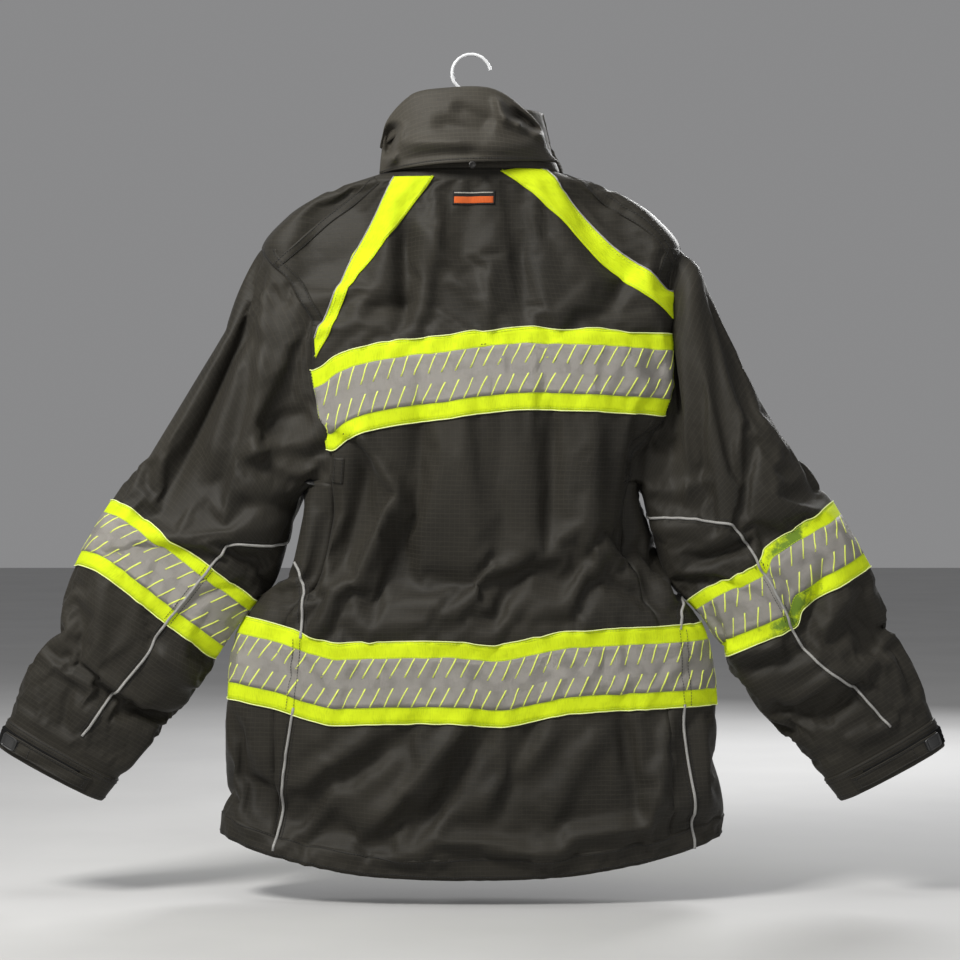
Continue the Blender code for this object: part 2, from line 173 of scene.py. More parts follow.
def evenly(line, count):
    return read_line(line, np.linspace(0, lengths(line)[-1], count))


def outline(*places):
    """Places on the coat given in millimetres, in metres."""
    return np.array(places, float) * MM


def rounded_path(points, count=60, radius=0.2):
    """A path through corners, with each corner softened."""
    points = np.array(points, float)
    for _ in range(3):
        first, second = points[:-1], points[1:]
        cut = np.empty((2 * len(first), 2))
        cut[0::2] = first * (1 - radius) + second * radius
        cut[1::2] = first * radius + second * (1 - radius)
        points = np.vstack([points[:1], cut, points[-1:]])
    return evenly(points, count)


def beside(path, shift):
    """A flat path moved sideways."""
    along = unit(np.gradient(path, axis=0))
    return path + np.stack([along[:, 1], -along[:, 0]], axis=-1) * shift


def shares(rows, columns):
    """Shares across and up a grid, as two grids from 0 to 1."""
    return np.meshgrid(np.linspace(0, 1, columns), np.linspace(0, 1, rows))


# ---- Torso sheet

def half_width(z, x):
    """Half the torso's width at a height, on the side that x is on."""
    return smooth_read(HALF_WIDTH, z) * np.where(np.asarray(x) > 0, 1 + smooth_read(WIDER_RIGHT, z), 1.0)


def torso_point(theta, z):
    """Torso surface; theta in degrees, 0 at the +X side, 90 at the back centre."""
    angle = np.radians(theta)
    depth = np.where(np.sin(angle) >= 0, smooth_read(BACK_DEPTH, z), FRONT_DEPTH)
    x = half_width(z, np.cos(angle)) * signed_power(np.cos(angle))
    return np.stack([x, -depth * signed_power(np.sin(angle)), z], axis=-1)


def neckline_z(theta):
    return NECK_Z - FRONT_NECK_DROP * np.maximum(0, -np.sin(np.radians(theta))) ** 2


def hem_z(theta):
    return HEM_SIDE_Z - BACK_TAIL * np.maximum(0, np.sin(np.radians(theta))) ** 2


def row_z(theta, v):
    return hem_z(theta) + (neckline_z(theta) - hem_z(theta)) * (1 - (1 - v) ** ROW_POWER)


def theta_from_share(share):
    """Angle from the side line where x is that share of the half-width."""
    return np.degrees(np.arccos(np.clip(share, 0, 1) ** (1 / SECTION_POWER)))


def column_thetas(v):
    """Angles of every torso column on row v, from the right placket edge round the back."""
    mid_z = row_z(np.array(40.0), v)
    below_tip = row_z(np.array(0.0), v) <= TIP_Z
    seam = float(smooth_read(SEAM_ANGLE, mid_z)) if below_tip else 0.0
    right, left = (seam + float(smooth_read(SEAM_TURN[side], mid_z)) * (seam > 0) for side in (1, -1))
    width = float(smooth_read(HALF_WIDTH, row_z(np.array(-90.0), v)))
    share_right, share_left = (cos(radians(angle)) ** SECTION_POWER for angle in (right, left))
    front = -theta_from_share(np.linspace(PLACKET_HALF / width, cos(radians(seam)) ** SECTION_POWER,
                                          FRONT_COLUMNS + 1))
    back = np.linspace(share_right, -share_left, BACK_COLUMNS + 1)[1:]
    back = np.where(back >= 0, theta_from_share(np.abs(back)), 180 - theta_from_share(np.abs(back)))
    return np.concatenate([front, np.linspace(-seam, right, SIDE_COLUMNS + 1)[1:], back,
                           np.linspace(180 - left, 180 + seam, SIDE_COLUMNS + 1)[1:], 180 - front[-2::-1]])


COLUMN_COUNTS = (("front_right", FRONT_COLUMNS), ("side_right", SIDE_COLUMNS), ("back", BACK_COLUMNS),
                 ("side_left", SIDE_COLUMNS), ("front_left", FRONT_COLUMNS))
COL, LAST_COLUMN = {}, 0
for name, count in COLUMN_COUNTS:
    COL[name] = (LAST_COLUMN, LAST_COLUMN + count)
    LAST_COLUMN += count


def torso_grid():
    """(rows, columns, 3) points of the torso sheet, and its theta values."""
    levels = np.linspace(0, 1, TORSO_ROWS + 1)
    thetas = np.array([column_thetas(v) for v in levels])
    return np.array([torso_point(theta, row_z(theta, v)) for theta, v in zip(thetas, levels)]), thetas


SIDE_Z = row_z(np.zeros(TORSO_ROWS + 1), np.linspace(0, 1, TORSO_ROWS + 1))
LOW_ROW, TIP_ROW = int(np.argmax(SIDE_Z >= UNDERARM_Z)), int(np.argmax(SIDE_Z >= TIP_Z))
# The columns of each armhole's edge on the back and on the front.
ARMHOLE = {1: (COL["side_right"][1], COL["side_right"][0]), -1: COL["side_left"]}


def armhole_ring(side):
    """Grid places (row, column) round an armhole: tip, down the back edge, under the arm, up the front."""
    back, front = ARMHOLE[side]
    down = [(j, back) for j in range(TIP_ROW, LOW_ROW, -1)]
    under = [(LOW_ROW, i) for i in range(back, front, 1 if front > back else -1)]
    return down + under + [(j, front) for j in range(LOW_ROW, TIP_ROW)]


RING_COUNT = len(armhole_ring(1))


# ---- Sleeve sheets

def sleeve_section(t, angle):
    """A sleeve's oval section at t: towards its outer edge, and towards the back."""
    half = np.linalg.norm(catmull(SLEEVE_OUTER, t) - catmull(SLEEVE_INNER, t)) / 2
    depth = float(catmull(SLEEVE_DEPTH, t))
    return np.stack([half * signed_power(np.cos(angle)), depth * signed_power(np.sin(angle))], axis=-1)


def even_ring(t, ring_shares, side):
    """Points of a sleeve's section at t, at the given shares of its girth."""
    outer, inner = catmull(SLEEVE_OUTER, t), catmull(SLEEVE_INNER, t)
    section = sleeve_section(t, np.linspace(0, 2 * pi, 721))
    flat = (outer + inner) / 2 + section[:, :1] * unit(outer - inner)
    ring = np.stack([side * flat[:, 0], -section[:, 1], flat[:, 1]], axis=-1)
    return read_line(ring, ring_shares * lengths(ring)[-1])


def ring_mix(ring, t):
    """Shares of the girth of a sleeve's columns at t: the armhole's spacing, then an even one."""
    start = lengths(np.vstack([ring, ring[:1]]))
    mix = smoothstep(t / RING_BLEND)
    return start / start[-1] * (1 - mix) + np.linspace(0, 1, RING_COUNT + 1) * mix


def sleeve_grid(side, ring):
    """(rows, columns, 3) points of one sleeve, its first row on the armhole."""
    rows = []
    for t in np.linspace(0, 1, SLEEVE_ROWS + 1):
        mix = smoothstep(t / SHAPE_BLEND)
        rows.append(ring * (1 - mix) + even_ring(t, ring_mix(ring, t)[:-1], side) * mix)
    return np.array(rows)


# ---- Folds laid into the sheets before the simulation

# Each fold is a soft ridge, or a valley where its height is negative. It is given in millimetres, as seen
# from behind: start x and z, end x and z, half-width and height.
FOLD_GAIN = 1.25
BACK_FOLDS = (
    (-77, -211, -77, -302, 11, -11), (-54, -203, 0, -276, 14, 7), (-116, -293, -68, -285, 11, -7),
    (-36, -200, -59, -305, 12, 5), (25, -211, 19, -302, 11, 6), (81, -181, 88, -212, 7, -5),
    (149, -249, 95, -302, 18, 5), (59, -223, 59, -298, 11, -6), (183, -242, 160, -285, 10, -4),
    (-60, -426, -81, -607, 16, -11), (-9, -426, 2, -646, 23, 8), (93, -426, 87, -536, 14, -10),
    (138, -432, 132, -547, 16, 8), (194, -432, 183, -545, 14, -9), (64, -584, 14, -652, 14, -8),
    (33, -579, -18, -641, 11, 4), (-127, -432, -90, -488, 10, 9), (-88, -499, -133, -601, 11, 11),
    (-122, -471, -150, -579, 14, -14), (-145, -601, -173, -658, 10, 8), (-82, -545, -111, -635, 10, -8),
    (-162, -505, -188, -601, 11, -7), (240, -432, 195, -477, 8, 7), (223, -426, 189, -466, 9, -9),
    (200, -573, 228, -624, 9, 7), (177, -545, 217, -607, 10, -6), (149, -562, 104, -635, 14, 5),
    (-15, -771, -105, -872, 14, 11), (19, -771, -54, -878, 14, -9), (-66, -771, -145, -829, 14, -8),
    (-116, -776, -190, -827, 11, 7), (93, -771, 14, -850, 14, 8), (70, -768, 36, -841, 10, -6),
    (172, -759, 183, -884, 10, -10), (140, -773, 93, -855, 15, 7), (223, -771, 206, -855, 11, 7),
    (-252, -768, -235, -827, 9, 6), (-268, -771, -257, -855, 8, -6), (262, -771, 268, -872, 9, 5),
    (-156, -850, -201, -895, 10, 6), (-32, -895, 59, -906, 10, 4), (121, -889, 194, -878, 10, 4))
SLEEVE_BACK_FOLDS = {
    -1: (
        (-266, -288, -359, -488, 16, -11), (-272, -338, -303, -451, 14, 9), (-238, -276, -241, -360, 8, 8),
        (-250, -276, -253, -336, 7, -5), (-241, -360, -258, -446, 10, 8), (-258, -446, -172, -435, 10, 9),
        (-242, -415, -190, -410, 9, -7), (-258, -446, -201, -473, 9, 6), (-306, -469, -266, -507, 15, -8),
        (-266, -507, -192, -501, 14, -7), (-232, -267, -212, -287, 6, -5), (-226, -360, -243, -411, 9, 5),
        (-201, -336, -209, -398, 9, -5), (-416, -612, -441, -767, 15, 4), (-371, -635, -363, -666, 7, -5),
        (-356, -678, -318, -714, 9, 8), (-318, -675, -295, -696, 8, -8), (-385, -751, -348, -767, 9, -9),
        (-367, -785, -401, -827, 9, 5), (-416, -714, -371, -739, 10, 6), (-461, -725, -470, -776, 9, -4)),
    1: (
        (237, -242, 236, -390, 8, -8), (253, -247, 247, -480, 15, 10), (267, -375, 258, -477, 9, -5),
        (315, -398, 311, -451, 6, 4), (206, -488, 247, -497, 9, 7), (247, -497, 270, -473, 9, 6),
        (198, -435, 232, -446, 10, -8), (262, -571, 315, -553, 9, -7), (214, -534, 266, -527, 11, 5),
        (330, -443, 313, -511, 11, -4), (375, -432, 389, -477, 16, 3), (406, -590, 383, -650, 9, -8),
        (435, -612, 406, -654, 11, 7), (360, -620, 372, -638, 6, -5), (304, -684, 353, -672, 8, 8),
        (322, -699, 383, -677, 8, -8), (367, -737, 412, -706, 9, 8), (406, -767, 435, -745, 9, -7),
        (435, -790, 480, -774, 9, 5), (496, -677, 511, -737, 9, -6), (519, -706, 533, -737, 9, 5)),
}
FRONT_FOLDS = (
    (-150, -450, -90, -640, 19, 9), (150, -450, 80, -640, 19, 9), (-120, -190, -60, -299, 17, 7),
    (120, -190, 70, -310, 17, 7), (-60, -420, -50, -640, 19, 6), (60, -431, 45, -640, 17, -6),
    (-156, -782, -111, -850, 14, 6), (149, -782, 104, -861, 14, 6), (-190, -511, -156, -579, 11, -7),
    (194, -511, 149, -579, 11, -7), (-88, -319, -54, -398, 16, -4), (87, -319, 59, -398, 16, -4))
# Folds of the sleeves' fronts: start t and share of the girth, end t and share, half-width and height.
SLEEVE_FRONT_FOLDS = (
    (0.04, 0.60, 0.28, 0.82, 0.020, 0.010), (0.20, 0.54, 0.42, 0.70, 0.018, -0.009),
    (0.66, 0.56, 0.80, 0.74, 0.016, 0.009), (0.82, 0.58, 0.90, 0.86, 0.014, 0.006),
    (0.10, 0.75, 0.40, 0.90, 0.018, -0.007), (0.70, 0.80, 0.88, 0.92, 0.016, -0.006),
)


def ridge(points, start, end, width, height):
    """Height of one fold at each 2-D point: rounded across, fading out at both ends."""
    start, end = np.array(start), np.array(end)
    line = end - start
    t = np.clip(((points - start) @ line) / (line @ line), -0.3, 1.3)
    gap = np.linalg.norm(points - start - t[..., None] * line, axis=-1)
    fade = smoothstep((t + 0.3) / 0.45) * smoothstep((1.3 - t) / 0.45)
    return height * np.exp(-(gap / width) ** 2) * fade


def ridges(flat, folds):
    """Total height of folds at each 2-D point, all in metres."""
    return sum(ridge(flat, fold[:2], fold[2:4], fold[4], fold[5]) for fold in folds)


def grid_normals(points, closed=False):
    """Outward unit normals of a (rows, columns, 3) grid, and whether its faces need turning."""
    across = np.gradient(points, axis=1)
    if closed:
        across = np.roll(points, -1, axis=1) - np.roll(points, 1, axis=1)
    normal = np.cross(across, np.gradient(points, axis=0))
    turned = (normal * (points - points.mean(axis=1, keepdims=True))).sum() < 0
    return unit(-normal if turned else normal), turned


def fold_torso(points, thetas):
    """The torso with its folds, which the stiff waist band calms."""
    around = np.sin(np.radians(thetas))
    height = (ridges(points[..., [0, 2]], np.array(BACK_FOLDS) * MM) * smoothstep((around - 0.10) / 0.30)
              + ridges(points[..., [0, 2]], np.array(FRONT_FOLDS) * MM) * smoothstep((-around - 0.15) / 0.35))
    calm = 1 - 0.6 * np.exp(-((points[..., 2] - sum(WAIST_BAND) / 2) / 0.055) ** 4)
    return points + grid_normals(points)[0] * (FOLD_GAIN * height * calm)[..., None]


def fold_sleeve(points, side):
    normals = grid_normals(points, closed=True)[0]
    t, share = np.meshgrid(np.linspace(0, 1, len(points)), np.linspace(0, 1, RING_COUNT, endpoint=False),
                           indexing="ij")
    scale = np.array([SLEEVE_LENGTH, SLEEVE_GIRTH])
    front = np.array(SLEEVE_FRONT_FOLDS) * np.array([*scale, *scale, 1, 1])
    behind = smoothstep((-normals[..., 1] - 0.05) / 0.35)
    height = (ridges(np.stack([t, share], axis=-1) * scale, front)
              + ridges(points[..., [0, 2]], np.array(SLEEVE_BACK_FOLDS[side]) * MM) * behind)
    height *= FOLD_GAIN * smoothstep(t / 0.03) * smoothstep((1 - t) / 0.06)
    return points + normals * height[..., None]


# ---- One welded mesh for the simulation

class Coat:
    """The torso and sleeve grids, and the welded mesh that is simulated."""

    def __init__(self):
        self.rest, self.thetas = torso_grid()
        self.torso = fold_torso(self.rest, self.thetas)
        self.sleeves = {}
        for side in (1, -1):
            ring = np.array([self.torso[place] for place in armhole_ring(side)])
            self.sleeves[side] = fold_sleeve(sleeve_grid(side, ring), side)
            self.sleeves[side][0] = ring
        self.weld()

    def weld(self):
        """Vertex numbers of every grid point, with collapsed columns and armholes shared."""
        self.vertices, self.faces = [], []
        rows, columns = self.torso.shape[:2]
        self.torso_id = -np.ones((rows, columns), int)
        for j, i in np.ndindex(rows, columns):
            hole = [h for h in (COL["side_right"], COL["side_left"]) if h[0] < i <= h[1]]
            if hole and j >= TIP_ROW:
                self.torso_id[j, i] = self.torso_id[j, hole[0][0]]
            elif not (hole and i < hole[0][1] and j > LOW_ROW):
                self.torso_id[j, i] = len(self.vertices)
                self.vertices.append(self.torso[j, i])
        self.add_faces(self.torso_id)
        self.sleeve_id = {}
        for side in (1, -1):
            grid = self.sleeves[side]
            first = len(self.vertices) + np.arange(grid[1:, :, 0].size).reshape(-1, RING_COUNT)
            self.sleeve_id[side] = np.vstack([[self.torso_id[place] for place in armhole_ring(side)], first])
            self.vertices.extend(grid[1:].reshape(-1, 3))
            self.add_faces(np.hstack([self.sleeve_id[side], self.sleeve_id[side][:, :1]]))
        self.vertices = np.array(self.vertices)

    def add_faces(self, ids):
        for j, i in np.ndindex(ids.shape[0] - 1, ids.shape[1] - 1):
            quad = [int(v) for v in (ids[j, i], ids[j, i + 1], ids[j + 1, i + 1], ids[j + 1, i])]
            clean = [v for k, v in enumerate(quad) if v != quad[k - 1]]
            if min(quad) >= 0 and len(set(clean)) >= 3:
                self.faces.append(clean)

    def pins(self):
        """How firmly each vertex keeps its place: 1 doesn't move."""
        weight = np.full(len(self.vertices), LOOSE_HOLD)
        z = self.torso[..., 2]
        shoulder = (z > TIP_Z) & (np.abs(np.sin(np.radians(self.thetas))) < 0.35)
        chest = (z > CHEST_BAND[0]) & (z < CHEST_BAND[1])
        waist = (z > WAIST_BAND[0]) & (z < WAIST_BAND[1] + CALM_ABOVE_WAIST)
        held = [(self.torso_id[chest | waist], 0.22), (self.torso_id[:2], 0.40),
                (self.torso_id[:, :2], 0.6), (self.torso_id[:, -2:], 0.6),
                (self.torso_id[z > COLLAR_SEAM_Z], 1.0), (self.torso_id[shoulder], 0.5)]
        low, high = (int(b * SLEEVE_ROWS) for b in SLEEVE_BAND)
        for ids in self.sleeve_id.values():
            held += [(ids[0], 0.35), (ids[-7:], 1.0), (ids[-13:], 0.35), (ids[low:high + 1], 0.18)]
        for ids, value in held:
            ids = ids[ids >= 0]
            weight[ids] = np.maximum(weight[ids], value)
        return weight

    def settle(self):
        """Cloth simulation: the sheet is cut a little too large for its shape, so it crumples."""
        mesh = bpy.data.meshes.new("settling_sheet")
        mesh.from_pydata([tuple(p) for p in self.vertices], [], self.faces)
        sheet = bpy.data.objects.new("settling_sheet", mesh)
        scene = bpy.context.scene
        scene.collection.objects.link(sheet)
        group = sheet.vertex_groups.new(name="hold")
        for index, value in enumerate(self.pins()):
            group.add([index], float(value), "REPLACE")
        cloth = sheet.modifiers.new("Cloth", "CLOTH")
        for key, value in CLOTH_SETTINGS.items():
            setattr(cloth.settings, key, value)
        cloth.settings.effector_weights.gravity = SETTLE_GRAVITY
        cloth.collision_settings.use_collision = False
        cloth.point_cache.frame_start, cloth.point_cache.frame_end = 1, SETTLE_FRAMES
        for number in range(1, SETTLE_FRAMES + 1):
            scene.frame_set(number)
        settled = sheet.evaluated_get(bpy.context.evaluated_depsgraph_get()).to_mesh()
        moved = np.zeros(len(settled.vertices) * 3)
        settled.vertices.foreach_get("co", moved)
        scene.frame_set(1)
        bpy.data.objects.remove(sheet)
        shift = moved.reshape(-1, 3) - self.vertices
        far = np.linalg.norm(shift, axis=1, keepdims=True)
        moved = self.vertices + shift * np.minimum(1, SETTLE_LIMIT / np.maximum(far, 1e-9))
        known = self.torso_id >= 0
        self.torso[known] = moved[self.torso_id[known]]
        for side in (1, -1):
            self.sleeves[side] = moved[self.sleeve_id[side]]


SETTLE_FRAMES, SETTLE_LIMIT, SETTLE_GRAVITY = 34, 0.022, 0.2
LOOSE_HOLD, CALM_ABOVE_WAIST, COLLAR_SEAM_Z = 0.04, 0.05, -0.150
CLOTH_SETTINGS = {"quality": 5, "mass": 0.25, "tension_stiffness": 18, "compression_stiffness": 18,
                  "shear_stiffness": 4, "bending_stiffness": 0.35, "air_damping": 4, "shrink_min": -0.036,
                  "vertex_group_mass": "hold", "pin_stiffness": 1.0}


# ---- Reading the settled surface

def refine(grid, closed=False):
    """Doubles a grid's resolution with smooth in-between points along both directions."""
    for axis, wrap in ((0, False), (1, closed)):
        points = np.moveaxis(grid, axis, 0)
        if wrap:
            padded = np.concatenate([points[-1:], points, points[:2]])
        else:
            padded = np.concatenate([2 * points[:1] - points[1:2], points, 2 * points[-1:] - points[-2:-1]])
        middle = (9 * (padded[1:-2] + padded[2:-1]) - padded[:-3] - padded[3:]) / 16
        merged = np.empty((len(points) + len(middle),) + points.shape[1:])
        merged[0::2], merged[1::2] = points, middle
        grid = np.moveaxis(merged, 0, axis)
    return grid


class Surface:
    """A settled sheet that other pieces are laid on, read by (column, row) in the first grid's steps."""

    def __init__(self, grid, closed=False):
        self.points, self.closed = refine(grid, closed), closed
        self.normals, self.turned = grid_normals(self.points, closed)

    def both(self, column, row):
        """Points and normals at (column, row)."""
        column, row = np.broadcast_arrays(np.asarray(column, float) * 2, np.asarray(row, float) * 2)
        rows, columns = self.points.shape[:2]
        row = np.clip(row, 0, rows - 1.001)
        column = column % columns if self.closed else np.clip(column, 0, columns - 1.001)
        j, i = row.astype(int), column.astype(int) % columns
        f, g = (column - column.astype(int))[..., None], (row - j)[..., None]
        after = (i + 1) % columns

        def mix(field):
            return ((field[j, i] * (1 - f) + field[j, after] * f) * (1 - g)
                    + (field[j + 1, i] * (1 - f) + field[j + 1, after] * f) * g)
        return mix(self.points), unit(mix(self.normals))

    def read(self, column, row, lift=0.0):
        points, normals = self.both(column, row)
        return points + normals * np.asarray(lift)[..., None]


coat = Coat()
armhole = {side: coat.sleeves[side][0].copy() for side in (1, -1)}
sleeve_uv_grid = {side: refine(coat.sleeves[side], True) for side in (1, -1)}
coat.settle()
torso = Surface(coat.torso)
sleeve = {side: Surface(coat.sleeves[side], closed=True) for side in (1, -1)}


def torso_place(theta, z):
    """(column, row) of a point of the torso given by its angle and height."""
    theta, z = np.broadcast_arrays(np.asarray(theta, float), np.asarray(z, float))
    rise = np.clip((z - hem_z(theta)) / (neckline_z(theta) - hem_z(theta)), 0, 1)
    row = (1 - (1 - rise) ** (1 / ROW_POWER)) * TORSO_ROWS
    below = np.clip(row.astype(int), 0, TORSO_ROWS - 1)
    column, numbers = np.zeros(theta.shape), np.arange(LAST_COLUMN + 1)
    for j in np.unique(below):
        here = below == j
        first, second = (np.interp(theta[here], coat.thetas[k], numbers) for k in (j, j + 1))
        column[here] = first + (second - first) * (row[here] - j)
    return column, row


def back_place(x, z, way=1):
    """(column, row) of the back's point at (x, z), or of the front's where way is -1."""
    theta = way * theta_from_share(np.clip(np.abs(x) / half_width(z, x), 0, 1))
    return torso_place(np.where(np.asarray(x) >= 0, theta, 180 - theta), z)


def front_place(x, z):
    return back_place(x, z, -1)


def sleeve_place(side, t, share):
    """(column, row) of a point of a sleeve, from its share of the length and of the girth."""
    t, share = np.broadcast_arrays(np.asarray(t, float), np.asarray(share, float))
    column = np.zeros(t.shape)
    for value in np.unique(t):
        here = t == value
        turns = np.floor(share[here])
        column[here] = RING_COUNT * turns + np.interp(share[here] - turns, ring_mix(armhole[side], value),
                                                      np.arange(RING_COUNT + 1))
    return column, t * SLEEVE_ROWS


def ring_share(t, phi):
    """Share of the girth at angle phi: 0 outer edge, 90 back, 180 inner edge, 270 front."""
    degrees = np.linspace(0, 360, 361)
    length = lengths(sleeve_section(t, np.radians(degrees)))
    return np.interp(phi % 360, degrees, length / length[-1]) + phi // 360


def sleeve_at(side, x, z):
    """(t, share) of the point of a sleeve's back seen at (x, z)."""
    t = np.linspace(0, 1, 401)
    outer, inner = catmull(SLEEVE_OUTER, t), catmull(SLEEVE_INNER, t)
    half = (outer - inner) / 2
    away = np.array([abs(x), z]) - (outer + inner) / 2
    cross = away[:, 0] * half[:, 1] - away[:, 1] * half[:, 0]
    reach = (away * half).sum(1) / (half * half).sum(1)
    changes = np.where((cross[:-1] * cross[1:] <= 0) & (np.abs(reach[:-1]) < 1.3))[0]
    k = int(changes[0]) if len(changes) else int(np.argmin(np.abs(cross)))
    mix = abs(cross[k]) / max(abs(cross[k]) + abs(cross[min(k + 1, 400)]), 1e-12)
    at = float(t[k] + t[1] * mix)
    phi = np.degrees(np.arccos(signed_power(np.clip(reach[k], -1, 1), 1 / SECTION_POWER)))
    return at, float(ring_share(at, phi))


# ---- Making pieces

def quad_corners(rows, columns, closed):
    """Row and column of each face of a grid, and the numbers of its four corners."""
    j, i = np.meshgrid(np.arange(rows - 1), np.arange(columns if closed else columns - 1), indexing="ij")
    after = (i + 1) % columns
    return j, i, np.stack([j * columns + i, j * columns + after,
                           (j + 1) * columns + after, (j + 1) * columns + i], axis=-1)


class Build:
    """Collects grids and small solids for one piece."""

    def __init__(self):
        self.points, self.faces, self.uvs, self.count = [], [], [], 0

    def add(self, points, faces, uvs):
        self.points.append(points)
        self.faces += faces
        self.uvs.append(uvs)
        self.count += len(points)

    def grid(self, points, uv=None, closed=False, turned=False, kept=None):
        """A sheet of quads; uv has one more column than a closed grid, and kept chooses its faces."""
        uv = grid_uv(points, closed) if uv is None else uv
        j, i, quads = quad_corners(*points.shape[:2], closed)
        quads = quads + self.count
        corners = np.stack([uv[j, i], uv[j, i + 1], uv[j + 1, i + 1], uv[j + 1, i]], axis=-2)
        if turned:
            quads, corners = quads[..., ::-1], corners[..., ::-1, :]
        kept = np.ones(j.shape, bool) if kept is None else kept
        self.add(points.reshape(-1, 3), quads[kept].tolist(), corners[kept].reshape(-1, 2))
        return self

    def loft(self, rings):
        """Closed tubes through rings of points: (..., rings, corners, 3), a tube for each leading index."""
        rings = np.asarray(rings, float)
        rings = rings.reshape(-1, *rings.shape[-3:])
        rows, columns = rings.shape[1:3]
        faces = quad_corners(rows, columns, True)[2].reshape(-1, 4).tolist()
        faces += [list(range(columns))[::-1], list(range((rows - 1) * columns, rows * columns))]
        order = [corner for face in faces for corner in face]
        for tube in rings.reshape(len(rings), -1, 3):
            placed = [[self.count + corner for corner in face] for face in faces]
            self.add(tube, placed, tube[order][:, [0, 2]])
        return self

    def make(self, name, material, thickness=0.0, offset=-1.0):
        """The piece as an object, its faces turned outwards where it is a closed solid."""
        mesh = bpy.data.meshes.new(name)
        mesh.from_pydata(np.concatenate(self.points).tolist(), [], self.faces)
        mesh.uv_layers.new(name="weave").data.foreach_set("uv", np.concatenate(self.uvs).ravel())
        mesh.polygons.foreach_set("use_smooth", [True] * len(self.faces))
        mesh.materials.append(material)
        work = bmesh.new()
        work.from_mesh(mesh)
        bmesh.ops.delete(work, geom=[v for v in work.verts if not v.link_faces], context="VERTS")
        if thickness == 0.0:
            bmesh.ops.recalc_face_normals(work, faces=work.faces)
        work.to_mesh(mesh)
        work.free()
        piece = bpy.data.objects.new(name, mesh)
        bpy.context.scene.collection.objects.link(piece)
        if thickness:
            thick = piece.modifiers.new("Solidify", "SOLIDIFY")
            thick.thickness, thick.offset = thickness, offset
        return piece


def wrapped(points, closed):
    return np.concatenate([points, points[:, :1]], axis=1) if closed else points


def grid_uv(points, closed=False):
    """Lengths along and across a grid, in metres, measured from its middle column."""
    points = wrapped(points, closed)
    across = np.linalg.norm(np.diff(points, axis=1), axis=-1)
    u = np.concatenate([np.zeros((len(points), 1)), np.cumsum(across, axis=1)], axis=1)
    u -= u[:, u.shape[1] // 2][:, None]
    up = np.linalg.norm(np.diff(points, axis=0), axis=-1).mean(axis=1)
    v = np.concatenate([[0], np.cumsum(up)])
    return np.stack([u, np.broadcast_to(v[:, None], u.shape)], axis=-1)


def as_sheet(piece, points, held="hung", closed=False, rests_on=(), area_share=1.0):
    """Joins a closed grid's first column onto its end, and does nothing more with the piece."""
    points = wrapped(points, closed)


SLEEVE_BODY = {1: "sleeve_right_body", -1: "sleeve_left_body"}
WORD = {1: "right", -1: "left"}


def attach(piece, body, slot, replaces=()):
    """Rides a piece on a body, or only bakes its transform in where body is 1 or -1."""
    if body in (1, -1):
        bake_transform(piece)
    else:
        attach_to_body(piece, body)
    if replaces:
        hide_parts(*replaces)


def stitches(build, points, normals, pitch=0.0034, length=0.0024, width=0.0007, height=0.0003):
    """A row of short raised threads along a line on a surface."""
    at = lengths(points)
    count = int(at[-1] / pitch)
    if not count:
        return
    places = (np.arange(count) + 0.5) * at[-1] / count
    ends = [read_line(points, places + delta) for delta in (-length / 2, 0.0, length / 2)]
    normal = unit(read_line(normals, places, at)) * height
    side = unit(np.cross(normal, ends[2] - ends[0])) * width / 2
    rings = [np.stack([end + rise * normal + side, end + normal,
                       end + rise * normal - side, end - normal], axis=1)
             for end, rise in zip(ends, (0.2, 1.0, 0.2))]
    build.loft(np.stack(rings, axis=1))


def tube_rings(centre, normals, radius, sides=8):
    """Rings of a round tube along a line of points."""
    along = unit(np.gradient(centre, axis=0))
    across = unit(np.cross(along, normals))
    up = np.cross(across, along)
    angle = np.linspace(0, 2 * pi, sides, endpoint=False)[None, :, None]
    return centre[:, None] + radius * (across[:, None] * np.cos(angle) + up[:, None] * np.sin(angle))


class Seat:
    """A settled surface, with the way that places on it are given."""

    def __init__(self, surface, place):
        self.surface, self.place = surface, place

    def both(self, first, second):
        return self.surface.both(*self.place(first, second))

    def points(self, first, second, lift=0.0):
        return self.surface.read(*self.place(first, second), lift)

    def turned(self, points):
        """Whether a laid grid's faces look into the surface."""
        j, i = points.shape[0] // 2, points.shape[1] // 2
        normal = np.cross(points[j, i + 1] - points[j, i], points[j + 1, i] - points[j, i])
        nearest = np.argmin(np.linalg.norm(self.surface.points - points[j, i], axis=-1))
        return float(normal @ self.surface.normals.reshape(-1, 3)[nearest]) < 0

    def cloth(self, name, points, material, thickness, body, slot, replaces=(), held="hung", rests_on=(),
              closed=False, kept=None):
        """A piece of cloth on the surface; held is None where it is too small or stiff to be a sheet."""
        build = Build().grid(points, closed=closed, turned=self.turned(points), kept=kept)
        piece = build.make(name, material, thickness)
        attach(piece, body, slot, replaces)
        if held:
            as_sheet(piece, points, held, closed, rests_on)

    def sew(self, build, first, second, lift, pitch=0.0034):
        """A row of stitches along a line of places."""
        points, normals = self.both(first, second)
        stitches(build, points + normals * lift, normals, pitch)

    def cord(self, build, path, radius, lift, sunk=0.35, sides=8):
        """A round piping along a path of places, partly sunk into its seam."""
        points, normals = self.both(path[:, 0], path[:, 1])
        build.loft(tube_rings(points + normals * (lift + radius * (1 - sunk)), normals, radius, sides))


on_torso, on_back, on_front = (Seat(torso, place) for place in (torso_place, back_place, front_place))
on_sleeve = {1: Seat(sleeve[1], lambda t, share: sleeve_place(1, t, share)),
             -1: Seat(sleeve[-1], lambda t, share: sleeve_place(-1, t, share))}


# ---- Materials

